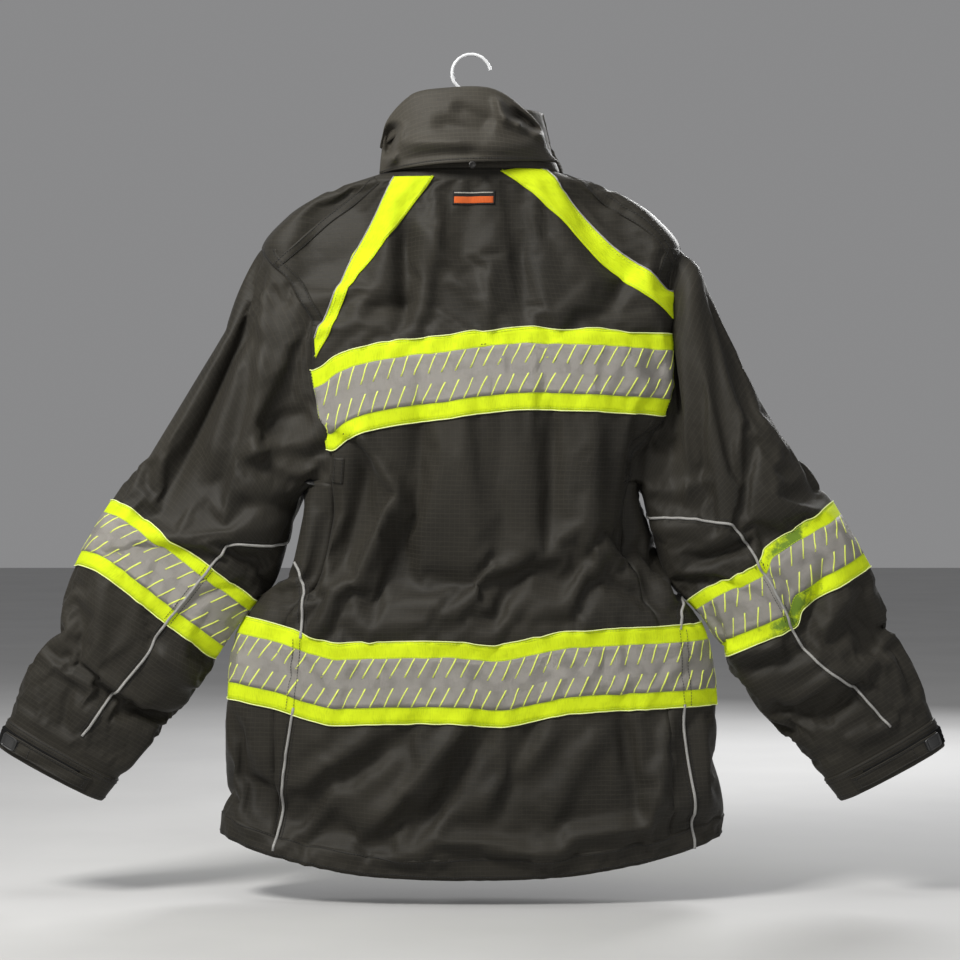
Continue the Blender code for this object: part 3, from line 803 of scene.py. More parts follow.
class Nodes:
    """Short names for building one material's nodes."""

    def __init__(self, name, roughness=0.6, metallic=0.0, sheen=0.0, specular=0.4, coat_weight=0.0):
        self.material = bpy.data.materials.new(name)
        self.material.use_nodes = True
        self.tree = self.material.node_tree
        self.shader = self.tree.nodes["Principled BSDF"]
        for key, value in (("Roughness", roughness), ("Metallic", metallic), ("Sheen Weight", sheen),
                           ("Specular IOR Level", specular), ("Coat Weight", coat_weight)):
            self.shader.inputs[key].default_value = value

    def node(self, kind, **settings):
        made = self.tree.nodes.new(kind)
        for key, value in settings.items():
            if hasattr(made, key):
                setattr(made, key, value)
            else:
                self.feed(value, made.inputs[key])
        return made

    def feed(self, value, target):
        """Gives an input a number, a colour or another node's output."""
        if isinstance(value, tuple):
            target.default_value = (*value, 1.0) if len(target.default_value) == 4 else value
        elif isinstance(value, (int, float)):
            target.default_value = value
        else:
            self.tree.links.new(value, target)

    def uv(self):
        return self.node("ShaderNodeUVMap", uv_map="weave").outputs["UV"]

    def solid(self):
        return self.node("ShaderNodeTexCoord").outputs["Object"]

    def split(self, source):
        return self.node("ShaderNodeSeparateXYZ", Vector=source).outputs

    def scaled(self, source, x, y):
        return self.node("ShaderNodeMapping", Vector=source, Scale=(x, y, 1.0)).outputs["Vector"]

    def noise(self, source, scale=1.0, detail=3.0, rough=0.55):
        return self.node("ShaderNodeTexNoise", Vector=source, Scale=scale, Detail=detail,
                         Roughness=rough).outputs["Fac"]

    def wave(self, source, scale, direction="X"):
        return self.node("ShaderNodeTexWave", wave_type="BANDS", bands_direction=direction,
                         wave_profile="SIN", Vector=source, Scale=scale, Detail=1.0).outputs["Fac"]

    def math(self, operation, first, second=0.0):
        made = self.node("ShaderNodeMath", operation=operation)
        self.feed(first, made.inputs[0])
        self.feed(second, made.inputs[1])
        return made.outputs["Value"]

    def blend(self, first, second, share):
        """A weighted sum of two values."""
        return self.math("ADD", self.math("MULTIPLY", first, 1 - share), self.math("MULTIPLY", second, share))

    def ramp(self, source, stops):
        made = self.node("ShaderNodeValToRGB", Fac=source)
        elements = made.color_ramp.elements
        while len(elements) < len(stops):
            elements.new(0.5)
        for element, (position, colour) in zip(elements, stops):
            element.position, element.color = position, (*colour, 1.0)
        return made.outputs["Color"]

    def mix(self, factor, first, second):
        made = self.node("ShaderNodeMix", data_type="RGBA")
        self.feed(factor, made.inputs["Factor"])
        for socket, value in zip([i for i in made.inputs if i.type == "RGBA"], (first, second)):
            self.feed(value, socket)
        return [o for o in made.outputs if o.type == "RGBA"][0]

    def colour(self, source, emission=0.0):
        self.feed(source, self.shader.inputs["Base Color"])
        # Emission makes the surface glow by itself: a painted glow, not lit by any lamp.
        if emission:
            self.feed(emission, self.shader.inputs["Emission Strength"])
            self.feed(source, self.shader.inputs["Emission Color"])

    def bump(self, source, distance, strength, below=None):
        made = self.node("ShaderNodeBump", Height=source, Strength=strength, Distance=distance)
        if below is not None:
            self.feed(below, made.inputs["Normal"])
        self.feed(made.outputs["Normal"], self.shader.inputs["Normal"])
        return made.outputs["Normal"]


def ripstop(name, dark, light, roughness=0.60, sheen=0.03, pitch=0.0052, crumple=0.0011):
    """Waterproof ripstop: plain cloth with a raised grid of thicker threads."""
    made = Nodes(name, roughness, sheen=sheen, specular=0.22)
    uv = made.uv()
    place = made.split(uv)
    cells = (made.math("MULTIPLY", place[axis], 1 / pitch) for axis in ("X", "Y"))
    across, down = (made.math("LESS_THAN", made.math("PINGPONG", cell, 0.5), 0.07) for cell in cells)
    threads = made.math("MAXIMUM", made.math("MULTIPLY", across, 0.6), down)
    patches = made.noise(made.scaled(uv, 9, 9), detail=4.0)
    streaks = made.noise(made.scaled(uv, 60, 420), detail=2.0)
    tone = made.math("ADD", made.math("MULTIPLY", patches, 0.75), made.math("MULTIPLY", streaks, 0.35))
    cloth = made.ramp(tone, ((0.32, dark), (0.78, light)))
    made.colour(made.mix(made.math("MULTIPLY", threads, 0.30), cloth, tuple(1.9 * c for c in light)))
    rough = made.math("ADD", made.math("MULTIPLY", patches, 0.16), roughness - 0.08)
    made.feed(rough, made.shader.inputs["Roughness"])
    weave = made.math("MULTIPLY", made.wave(uv, 520.0, "DIAGONAL"), 0.35)
    fine = made.bump(made.math("ADD", threads, weave), 0.00022, 0.7)
    made.bump(made.noise(made.scaled(uv, 34, 26), detail=5.0, rough=0.6), crumple, 0.55, fine)
    return made.material


def tape(name, colour, shade, emission=0.0, roughness=0.7, metallic=0.0, weave=700.0, wear=0.5, dirt=None):
    """Woven or coated safety tape with mottling and a fine weave, and a painted glow where emission is given.
    """
    made = Nodes(name, roughness, metallic=metallic, specular=0.3)
    uv = made.uv()
    slubs = made.noise(made.scaled(uv, 900, 90), detail=2.0)
    tone = made.blend(slubs, made.noise(made.scaled(uv, 38, 60), detail=5.0, rough=0.65), wear)
    mixed = made.ramp(tone, ((0.30, shade), (0.52, colour), (1.0, colour)))
    made.colour(dirt(made, mixed) if dirt else mixed, emission)
    fine = made.bump(made.math("ADD", made.wave(uv, weave, "X"), made.wave(uv, weave, "Y")), 0.00018, 0.6)
    made.bump(made.noise(made.scaled(uv, 70, 70)), 0.0006, 0.5, fine)
    return made.material


GRIME_X, GRIME_COLOUR = 0.368, (0.05, 0.13, 0.02)


def grime(made, colour):
    """Green-black scuffs across the lime tape of the right forearm, as on the real sleeve."""
    place = made.solid()
    x = made.split(place)["X"]
    near = made.math("MULTIPLY", made.math("ABSOLUTE", made.math("SUBTRACT", x, GRIME_X)), 26.0)
    near = made.math("MULTIPLY", made.math("GREATER_THAN", x, 0.30), made.math("SUBTRACT", 1.0, near))
    level = made.math("ADD", made.math("MULTIPLY", near, 0.32), made.noise(place, 60.0, 6.0, 0.7))
    return made.mix(made.ramp(level, ((0.60, (0, 0, 0)), (0.78, (0.85, 0.85, 0.85)))), colour, GRIME_COLOUR)


def plain(name, colour, shade, roughness, metallic=0.0, specular=0.5, scale=140.0, height=0.0002,
          coat_weight=0.0):
    """Moulded, coated or cast surface with slight variation and a fine grain."""
    made = Nodes(name, roughness, metallic, specular=specular, coat_weight=coat_weight)
    grain = made.noise(made.solid(), scale, 4.0)
    made.colour(made.ramp(grain, ((0.3, shade), (0.7, colour))))
    rough = made.math("ADD", made.math("MULTIPLY", grain, 0.2), roughness - 0.1)
    made.feed(rough, made.shader.inputs["Roughness"])
    made.bump(grain, height, 0.6)
    return made.material


def grey(level):
    return level, level, level


BLACK = ripstop("black_ripstop", (0.0110, 0.0098, 0.0072), (0.0270, 0.0240, 0.0178))
COLLAR_CLOTH = ripstop("collar_cloth", (0.026, 0.023, 0.0175), (0.050, 0.045, 0.035), sheen=0.05)
LINING = ripstop("quilted_lining", grey(0.010), grey(0.021), roughness=0.45, pitch=0.030, crumple=0.0022)
# The lime tapes, strokes and selvage are given a faint emission: a painted glow on top of their colour.
LIME_COLOURS = (0.60, 0.74, 0.003), (0.44, 0.57, 0.0)
LIME = tape("lime_tape", *LIME_COLOURS, emission=0.10)
LIME_WORN = tape("lime_tape_worn", *LIME_COLOURS, emission=0.10, dirt=grime)
LIME_INK = tape("lime_stroke", (0.78, 0.86, 0.16), (0.66, 0.76, 0.10), emission=0.12)
SELVAGE = tape("lime_selvage", (0.80, 0.86, 0.38), (0.66, 0.74, 0.24), emission=0.08)
SILVER = tape("silver_tape", (0.30, 0.285, 0.262), (0.235, 0.222, 0.205), roughness=0.42, metallic=0.35,
              weave=900.0, wear=0.8)
PIPING = tape("grey_piping", (0.36, 0.355, 0.34), (0.24, 0.235, 0.225), roughness=0.45, metallic=0.2)
THREAD = plain("dark_thread", grey(0.020), grey(0.010), 0.6, scale=900.0)
LIME_THREAD = plain("lime_thread", (0.62, 0.76, 0.06), (0.46, 0.60, 0.03), 0.6, scale=900.0)
PILE = plain("loop_pile", grey(0.014), grey(0.004), 0.95, specular=0.1, scale=900.0, height=0.0012)
RUBBER = plain("moulded_rubber", grey(0.026), grey(0.016), 0.45, scale=500.0)
ZIP = plain("dark_zip_metal", (0.060, 0.058, 0.056), (0.030, 0.029, 0.028), 0.35, metallic=0.8, scale=300.0)
NYLON = plain("zip_nylon", grey(0.016), grey(0.008), 0.4, scale=700.0)
WIRE = plain("white_coated_wire", (0.74, 0.75, 0.76), (0.62, 0.63, 0.65), 0.35, height=0.0001,
             coat_weight=0.3)
BADGE_ORANGE = tape("badge_orange", (0.62, 0.115, 0.020), (0.48, 0.075, 0.012), weave=1200.0)
BADGE_BLACK = tape("badge_black", grey(0.010), grey(0.006), weave=1200.0)
BADGE_PALE = tape("badge_pale", (0.42, 0.40, 0.36), (0.20, 0.19, 0.17), weave=1200.0)


# ---- The shell's panels

SHELL = ("coat", "shell_cloth")
TORSO_UV = grid_uv(refine(coat.rest))
TORSO_UV[..., 1] = refine(coat.rest)[..., 2]
PANELS = [("back_cloth", COL["back"], TORSO_ROWS, "back_panel")]
for word in WORD.values():
    PANELS += [(f"front_cloth_{word}", COL[f"front_{word}"], TORSO_ROWS, f"front_panel_{word}"),
               (f"side_cloth_{word}", COL[f"side_{word}"], LOW_ROW, f"side_panel_{word}")]
for name, (first, last), top, node in PANELS:
    part = (slice(0, 2 * top + 1), slice(2 * first, 2 * last + 1))
    panel = Build().grid(torso.points[part], TORSO_UV[part], turned=torso.turned)
    piece = panel.make(name, BLACK, CLOTH_THICKNESS)
    attach(piece, *SHELL, [node])
    as_sheet(piece, torso.points[part])
for side, word in WORD.items():
    tube = sleeve[side]
    piece = Build().grid(tube.points, grid_uv(sleeve_uv_grid[side], True), closed=True, turned=tube.turned)
    piece = piece.make(f"sleeve_cloth_{word}", BLACK, CLOTH_THICKNESS)
    attach(piece, side, "shell_cloth", [f"sleeve_{word}"])
    as_sheet(piece, tube.points, closed=True)


# ---- Linings, a little inside the shell

LINING_EDGE, LINING_TOP = 0.6, TORSO_ROWS - 1.0
BODY_LINING_DEPTH, SLEEVE_LINING_DEPTH, CALM_PASSES = 0.0085, 0.0060, 5
# Share of the torso's whole grid that the body lining covers, by estimate: the armholes are cut out of it.
LINING_SHARE = 0.94


def spread(field, closed, mix):
    """A grid mixed with its neighbours along both directions."""
    for axis in (0, 1):
        padding = [(0, 0)] * field.ndim
        padding[axis] = (1, 1)
        padded = np.pad(field, padding, mode="wrap" if closed and axis else "edge")
        before, after = (np.take(padded, np.arange(field.shape[axis]) + shift, axis) for shift in (0, 2))
        field = mix(before, field, after)
    return field


def mean(before, here, after):
    return 0.25 * before + 0.5 * here + 0.25 * after


def highest(before, here, after):
    return np.maximum(np.maximum(before, here), after)


def inside_of(surface, depth):
    """A calmer copy of a surface, moved in until it clears the folds that press into it."""
    shell = surface.points[::2, ::2]
    calm = shell
    for _ in range(CALM_PASSES):
        calm = spread(calm, surface.closed, mean)
    normals = grid_normals(calm, surface.closed)[0]
    gap = np.maximum(((calm - shell) * normals).sum(axis=-1), 0)
    for mix in (highest, highest, mean, mean):
        gap = spread(gap, surface.closed, mix)
    return Surface(calm - normals * (depth + gap)[..., None], surface.closed)


def lining_grid(surface, columns, rows, count, closed=False):
    """Quilted points of a surface, between grid columns and rows."""
    column, row = np.meshgrid(np.linspace(*columns, count[0], endpoint=not closed),
                              np.linspace(*rows, count[1]))
    quilt = 0.0012 * np.abs(np.sin(column * 0.55 + row * 0.42) * np.sin(column * 0.55 - row * 0.42))
    return surface.read(column, row, -quilt)


lining, inner = Build(), inside_of(torso, BODY_LINING_DEPTH)
for first, last, top in ((LINING_EDGE, COL["front_right"][1], LINING_TOP), (*COL["back"], LINING_TOP),
                         (COL["side_left"][1], LAST_COLUMN - LINING_EDGE, LINING_TOP),
                         (*COL["side_right"], LOW_ROW), (*COL["side_left"], LOW_ROW)):
    count = int((last - first) * 1.6), int(top * 1.5)
    lining.grid(lining_grid(inner, (first, last), (2.0, top), count), turned=torso.turned)
piece = lining.make("body_lining_cloth", LINING, 0.0010)
attach(piece, "coat", "lining_cloth", ["body_lining"])
whole = lining_grid(inner, (LINING_EDGE, LAST_COLUMN - LINING_EDGE), (2.0, LINING_TOP), (150, 80))
as_sheet(piece, whole, area_share=LINING_SHARE)
for side, word in WORD.items():
    inner = inside_of(sleeve[side], SLEEVE_LINING_DEPTH)
    points = lining_grid(inner, (0, RING_COUNT), (1.0, SLEEVE_ROWS - 1.5), (130, 110), closed=True)
    on_sleeve[side].cloth(f"sleeve_lining_cloth_{word}", points, LINING, 0.0008, side, "lining_cloth",
                          [f"sleeve_lining_{word}"], closed=True)


# ---- Reflective bands

LIME_LIFT, SILVER_LIFT, STROKE_LIFT = 0.0014, 0.0020, 0.0023
STROKE_PITCH, STROKE_WIDTH, STROKE_LEAN, STROKE_SHARE = 0.0157, 0.0016, 0.0112, 0.39


class Band(Seat):
    """A band across a surface: place(u, v) reads u in metres along it and v from 0 at its bottom to 1."""

    def __init__(self, surface, place, start, end, body):
        super().__init__(surface, place)
        self.start, self.end, self.body = start, end, body

    def strip(self, low, high, lift, rows):
        columns = int((self.end - self.start) / 0.004) + 1
        u, v = np.meshgrid(np.linspace(self.start, self.end, columns), np.linspace(low, high, rows))
        return self.points(u, v, lift)

    def make(self, names, replaces, material=None, ends=True):
        """The band's lime tape, silver tape, strokes and threads; names is a pattern for their names."""
        tapes = ((self.strip(0, 1, LIME_LIFT, 16), material or LIME, 0.0008),
                 (self.strip(TRIM_SHARE, 1 - TRIM_SHARE, SILVER_LIFT, 12), SILVER, 0.0005))
        for kind, (points, look, thickness), nodes in zip(("lime", "silver"), tapes, replaces):
            self.cloth(names % kind, points, look, thickness, self.body, f"{kind}_tape", nodes)
        attach(self.strokes().make(names % "strokes", LIME_INK), self.body, "lime_tape")
        threads, selvage = Build(), Build()
        u = np.linspace(self.start, self.end, int((self.end - self.start) / 0.003))
        for v in (0.028, 0.972, TRIM_SHARE - 0.012, 1 - TRIM_SHARE + 0.012):
            self.sew(threads, u, np.full(u.shape, v), LIME_LIFT)
        for at in (self.start + 0.0022, self.end - 0.0022) if ends else ():
            self.sew(threads, np.full(40, at), np.linspace(0.01, 0.99, 40), SILVER_LIFT)
        for v in (0.0, 1.0):
            self.cord(selvage, np.stack([u, np.full(u.shape, v)], axis=-1), 0.0006, LIME_LIFT, sides=6)
        attach(threads.make(names % "threads", LIME_THREAD), self.body, "lime_tape")
        attach(selvage.make(names % "selvage", SELVAGE), self.body, "lime_tape")

    def strokes(self):
        """Two rows of slanted lime strokes, one from each edge of the silver."""
        build = Build()
        tall = STROKE_SHARE * (1 - 2 * TRIM_SHARE)
        share = np.linspace(0, 1, 5)[:, None]
        for low, shift in ((TRIM_SHARE + 0.004, 0.0), (1 - TRIM_SHARE - tall - 0.004, 0.0075)):
            starts = np.arange(self.start + 0.004 + shift, self.end - 0.002 - STROKE_LEAN, STROKE_PITCH)
            for at in starts:
                column, row = self.place(at + STROKE_LEAN * share + np.array([[0, STROKE_WIDTH]]),
                                         low + tall * share + np.zeros((1, 2)))
                top, under = (self.surface.read(column, row, lift)
                              for lift in (STROKE_LIFT, SILVER_LIFT - 0.0004))
                build.loft(np.stack([top[:, 0], top[:, 1], under[:, 1], under[:, 0]], axis=1))
        return build


def torso_band(low, high, thetas, droop):
    """A band on the torso; u runs from its left end (as seen from behind) to its right."""
    middle = (low + high) / 2
    theta = np.linspace(-90, 270, 721)
    length = lengths(torso_point(theta, np.full(theta.shape, middle)))
    length -= np.interp(90, theta, length)

    def place(u, v):
        angle = np.interp(-np.asarray(u), length, theta)
        x = smooth_read(HALF_WIDTH, np.full(angle.shape, middle)) * signed_power(np.cos(np.radians(angle)))
        behind = smoothstep((np.sin(np.radians(angle)) + 0.8) / 0.8)
        return torso_place(angle, low + (high - low) * v + smooth_read(droop, x) * behind)
    ends = sorted(float(-np.interp(angle, theta, length)) for angle in thetas)
    return Band(torso, place, *ends, "coat")


def sleeve_band(side):
    """A band round a sleeve; u runs from the inner edge across the back to the outer edge and on."""
    low, high = SLEEVE_BAND
    girth = lengths(sleeve_section((low + high) / 2, np.radians(np.linspace(0, 360, 361))))[-1]

    def place(u, v):
        share = 0.5 - side * np.asarray(u) / girth
        bend = smooth_read(SLEEVE_DROOP[side], np.clip(share, 0, 1))
        return sleeve_place(side, high - (high - low) * np.asarray(v) - bend / SLEEVE_LENGTH, share)
    return Band(sleeve[side], place, -girth / 2, girth / 2, side)


# How far each sleeve's band rises towards the shoulder, by its share of the girth: 0 at the outer edge, 0.25
# at the middle of the back, 0.5 at the inner edge and 0.75 at the middle of the front.
SLEEVE_DROOP = {-1: ((0.0, 0.0), (0.12, 0.012), (0.23, 0.009), (0.36, 0.004), (0.50, 0.0), (1.0, 0.0)),
                1: ((0.0, 0.0), (0.12, 0.002), (0.235, 0.004), (0.275, -0.008), (0.38, -0.004), (0.50, 0.0),
                    (1.0, 0.0))}
CHEST_Z = sum(CHEST_BAND) / 2
chest_seam = float(smooth_read(SEAM_ANGLE, CHEST_Z))
chest_ends = [chest_seam + float(smooth_read(SEAM_TURN[side], CHEST_Z)) + 1.5 * side for side in (1, -1)]
chest = torso_band(*CHEST_BAND, (180 - chest_ends[1], chest_ends[0]), CHEST_DROOP)
chest.make("chest_%s", (["chest_band_lime"], ["chest_band_silver"]))
waist = torso_band(*WAIST_BAND, (266.0, -86.0), WAIST_DROOP)
waist.make("waist_%s", (["waist_band_lime"], ["waist_band_silver"]))
for side, word in WORD.items():
    thetas = (-chest_seam - 2, -85.0) if side > 0 else (182 + chest_seam, 265.0)
    front = torso_band(*CHEST_BAND, thetas, NO_DROOP)
    front.make(f"front_chest_%s_{word}", ([f"front_chest_band_{word}"], []))
    nodes = [f"sleeve_band_lime_{word}"], [f"sleeve_band_silver_{word}"]
    sleeve_band(side).make(f"sleeve_%s_{word}", nodes, LIME_WORN if side > 0 else LIME, ends=False)


# ---- Braces, seams, hem and piping

BRACE_LIFT = 0.0014
BRACE_OUTER = {1: outline((81, -133), (102, -154), (127, -178), (172, -223), (206, -251), (235, -277)),
               -1: outline((-88, -147), (-142, -228), (-158, -277), (-177, -327))}
BRACE_INNER = {1: outline((33, -141), (67, -163), (103, -194), (149, -237), (194, -273), (232, -304)),
               -1: outline((-42, -147), (-69, -182), (-111, -230), (-133, -251), (-141, -267), (-152, -295),
                           (-158, -318), (-175, -349))}
SHOULDER_SEAM = {1: outline((107, -136), (149, -160), (194, -190), (222, -217), (235, -242)),
                 -1: outline((-108, -149), (-139, -167), (-168, -186), (-197, -212), (-222, -242))}
# Heights where tapes cover the armhole seams, on the back by side and on the front.
BACK_TAPED, FRONT_TAPED = {1: (-0.418, -0.266), -1: (-0.464, -0.316)}, (-0.415, -0.315)
WELT_PROFILE = np.array([0.0, 0.8, 1.0, 1.0, 1.0, 0.8, 0.0])
dark_threads, lime_threads, welts = Build(), Build(), Build()


def sew_path(build, seat, path, lift, shift=0.0, pitch=0.0034):
    path = beside(evenly(path, max(4, int(lengths(path)[-1] / 0.003))), shift)
    seat.sew(build, path[:, 0], path[:, 1], lift, pitch)


for side, word in WORD.items():
    outer, inner = BRACE_OUTER[side], BRACE_INNER[side]
    across = np.linspace(0, 1, 12)[None, :, None]
    flat = evenly(outer, 60)[:, None] * (1 - across) + evenly(inner, 60)[:, None] * across
    on_back.cloth(f"brace_{word}", on_back.points(flat[..., 0], flat[..., 1], BRACE_LIFT), LIME, 0.0008,
                  "coat", "lime_tape", [f"back_brace_{word}"])
    piping = Build()
    on_back.cord(piping, evenly(rounded_path(outer, 80), 90), 0.0009, 0.0006)
    attach(piping.make(f"brace_piping_{word}", PIPING), "coat", "piping_tape")
    for edge, shift in ((outer, side * 0.0035), (inner, -side * 0.0022)):
        sew_path(lime_threads, on_back, rounded_path(edge, 80), BRACE_LIFT + 0.0001, shift)

    # Shoulder seams run from the neck to the armhole, felled and sewn twice.
    seam = evenly(rounded_path(SHOULDER_SEAM[side], 60), 46)
    flat = np.stack([beside(seam, shift) for shift in np.linspace(-0.0045, 0.0045, 7)], axis=1)
    points = on_back.points(flat[..., 0], flat[..., 1], 0.0009 * WELT_PROFILE[None, :] + np.zeros((46, 1)))
    welts.grid(points, turned=on_back.turned(points))
    for shift in (-0.0032, 0.0032):
        sew_path(dark_threads, on_back, seam, 0.0010, shift)

    # Armhole seams, felled towards the body, and left plain where a tape covers them.
    for column, inwards, taped in zip(ARMHOLE[side], (side, -side), (BACK_TAPED[side], FRONT_TAPED)):
        rows = np.linspace(LOW_ROW + 0.2, TIP_ROW, 120)
        height = torso.read(column, rows)[:, 2]
        for run in (rows[height < taped[0]], rows[height > taped[1]]):
            columns = column + inwards * np.linspace(0.1, 1.9, 7)[None, :] + np.zeros((len(run), 1))
            raised = 0.0007 * WELT_PROFILE[None, :] + np.zeros(columns.shape)
            points = torso.read(columns, run[:, None], raised)
            welts.grid(points, turned=on_torso.turned(points))
            for across in (0.45, 1.55):
                line, normals = torso.both(column + inwards * across, run)
                stitches(dark_threads, line + normals * 0.0010, normals)

# The hem, turned up and stitched, with a soft ridge at the top of the turning.
HEM_TURN, HEM_HEIGHT = 0.026, 0.0011
HEM_PROFILE = np.array([0.6, 0.9, 1.0, 0.85, 0.8, 0.85, 1.0, 0.8, 0.0])
hem_theta = np.linspace(-86, 266, 420)
theta, rise = np.meshgrid(hem_theta, np.linspace(0.0006, HEM_TURN, len(HEM_PROFILE)))
raised = HEM_HEIGHT * HEM_PROFILE[:, None] + np.zeros(theta.shape)
points = on_torso.points(theta, hem_z(theta) + rise, raised)
on_torso.cloth("hem_turning", points, BLACK, 0.0008, *SHELL)
for rise in (HEM_TURN - 0.003, 0.004):
    on_torso.sew(dark_threads, hem_theta, hem_z(hem_theta) + rise, 0.0012)

# Piping of the back: from under each arm to the waist band, and from below it to the hem.
PIPING_ROUTES = {
    1: {"upper": outline((251, -622), (244, -630), (240, -644), (238, -662)),
        "lower": outline((242, -746), (245, -805), (250, -872), (255, -915))},
    -1: {"upper": outline((-209, -574), (-202, -595), (-194, -624), (-193, -668)),
         "lower": outline((-201, -746), (-210, -793), (-219, -850), (-226, -914))}}
BAND_SEAMS = {1: (outline((236, -662), (242, -748)), outline((244, -662), (250, -748))),
              -1: (outline((-193, -669), (-201, -748)), outline((-200, -669), (-209, -748)))}
BAND_EDGES = (-0.762, -0.652)
for side, word in WORD.items():
    for part, route in PIPING_ROUTES[side].items():
        path = evenly(rounded_path(route), 40)
        piping = Build()
        on_back.cord(piping, path, 0.0017, 0.0)
        attach(piping.make(f"{part}_piping_cord_{word}", PIPING), "coat", "piping_tape",
               [f"{part}_piping_{word}"])
        bare = path[(path[:, 1] > BAND_EDGES[1]) | (path[:, 1] < BAND_EDGES[0])]
        for shift in (-0.0045, 0.0045):
            sew_path(dark_threads, on_back, bare, 0.0003, shift)
    for seam in BAND_SEAMS[side]:
        sew_path(dark_threads, on_back, seam, SILVER_LIFT + 0.0003)

# Sleeve piping: along the elbow seam and on over the band to the cuff.
SLEEVE_PIPING = {
    1: outline((208, -520), (251, -522), (302, -523), (320, -555), (355, -628), (377, -667), (404, -696),
               (433, -721), (479, -775)),
    -1: outline((-192, -536), (-200, -547), (-233, -548), (-276, -546), (-319, -606), (-360, -662),
                (-366, -678), (-414, -741), (-447, -786))}
for side, word in WORD.items():
    route = np.array([sleeve_at(side, x, z) for x, z in rounded_path(SLEEVE_PIPING[side], 110, 0.08)])
    for _ in range(2):
        route[1:-1] = 0.25 * route[:-2] + 0.5 * route[1:-1] + 0.25 * route[2:]
    points, normals = on_sleeve[side].both(route[:, 0], route[:, 1])
    over_band = (smoothstep((route[:, 0] - SLEEVE_BAND[0] + 0.01) / 0.01)
                 * smoothstep((SLEEVE_BAND[1] + 0.01 - route[:, 0]) / 0.01))
    line = points + normals * (0.0012 + 0.0012 * over_band)[:, None]
    at = np.linspace(0, lengths(line)[-1], 150)
    centre, normal = read_line(line, at), read_line(normals, at, lengths(line))
    piping = Build().loft(tube_rings(centre, normal, 0.0016))
    attach(piping.make(f"sleeve_piping_cord_{word}", PIPING), side, "piping_tape",
           [f"elbow_piping_{word}", f"forearm_piping_{word}"])
    seam_threads = Build()
    across = unit(np.cross(unit(np.gradient(centre, axis=0)), normal))
    for shift in (-0.0045, 0.0045):
        stitches(seam_threads, centre - normal * 0.0010 + across * shift, normal)
    attach(seam_threads.make(f"sleeve_seam_threads_{word}", THREAD), side, "shell_cloth")


# ---- Neck badge, hanging loop and snap

BADGE_X, BADGE_Z = (-0.0203, 0.0266), (-0.1785, -0.1633)
MARGIN, STRIP = 0.0016, 0.0012
inner_x = (BADGE_X[0] + MARGIN, BADGE_X[1] - MARGIN)
for name, x, z, lift, material, taken in (
        ("badge_ground", BADGE_X, BADGE_Z, 0.0012, BADGE_BLACK, ["neck_badge"]),
        ("badge_field", inner_x, (BADGE_Z[0] + MARGIN, BADGE_Z[1] - 0.0064), 0.0016, BADGE_ORANGE, []),
        ("badge_strip", inner_x, (BADGE_Z[1] - MARGIN - STRIP, BADGE_Z[1] - MARGIN), 0.0016, BADGE_PALE, [])):
    points = on_back.points(*np.meshgrid(np.linspace(*x, 14), np.linspace(*z, 8)), lift)
    on_back.cloth(name, points, material, 0.0006, "coat", "badge_weave", taken, held=None)
(x0, x1), (z0, z1) = ((low + 0.0008, high - 0.0008) for low, high in (BADGE_X, BADGE_Z))
border = np.array([(x0, z0), (x1, z0), (x1, z1), (x0, z1), (x0, z0)])
sew_path(dark_threads, on_back, border, 0.0013, pitch=0.0026)
attach(dark_threads.make("seam_threads", THREAD), *SHELL)
attach(lime_threads.make("brace_threads", LIME_THREAD), "coat", "lime_tape")
attach(welts.make("seam_welts", BLACK, 0.0006), *SHELL)

snap_centre = np.array([0.0014, -0.0905, -0.1365])
angle = np.linspace(0, 2 * pi, 24, endpoint=False)
rings = [snap_centre + np.stack([radius * np.cos(angle), np.full(24, y), radius * np.sin(angle)], axis=-1)
         for radius, y in ((0.0020, -0.0006), (0.0036, -0.0012), (0.0042, -0.0004), (0.0042, 0.0012),
                           (0.0030, 0.0016))]
attach(Build().loft(rings).make("collar_snap", ZIP), "collar_flap_body", "zip_metal")

low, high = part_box("hanging_loop")
t = np.linspace(0, pi, 25)
centre = np.stack([(high.x - low.x) / 2 * np.cos(t), np.full(25, (low.y + high.y) / 2),
                   (low.z + high.z) / 2 - 0.006 * np.sin(t)], axis=-1)
section = np.array([(0, -0.0011, 0.0022), (0, 0.0011, 0.0022), (0, 0.0011, -0.0022), (0, -0.0011, -0.0022)])
loop = Build().loft(centre[:, None] + section[None])
attach(loop.make("hanging_loop_tape", THREAD), "coat", "collar_cloth", ["hanging_loop"])


# ---- Collar

COLLAR_TOP = outline((-103, -108.5), (-101, -89), (-91.5, -76.5), (-74.5, -62), (-59, -55), (-27, -53),
                     (4.5, -51), (28, -53.5), (52, -67), (76, -84.5), (84, -95.5), (85, -111))
COLLAR_EDGE = outline((-105.5, -140), (-82.5, -137.5), (-43, -134.5), (-3.5, -133), (36, -131.5), (76, -128),
                      (100.5, -127))
# Dents and creases of the collar, in millimetres like the coat's folds, and how strongly they are cut.
COLLAR_FOLDS = (
    (-88, -90, -94, -118, 9, -12), (-80, -93, -91, -130, 6, 6), (30, -58, 36, -83, 6, 6),
    (37, -85, 56, -90, 6, 6), (56, -90, 83, -101, 6, 6), (52, -70, 74, -90, 11, -9),
    (-35, -90, 15, -96, 10, -4), (-15, -72, 20, -86, 9, -4), (-70, -110, -5, -113, 8, 4),
    (10, -118, 70, -110, 11, 3), (-65, -128, 10, -125, 8, -3))
STAND_HALF_WIDTH = 0.0985
COLLAR_GAIN, COLLAR_DEPTH, COLLAR_COLUMNS, FACE_ROWS, ROLL_RADIUS = 1.9, 0.0860, 120, 44, 0.0070


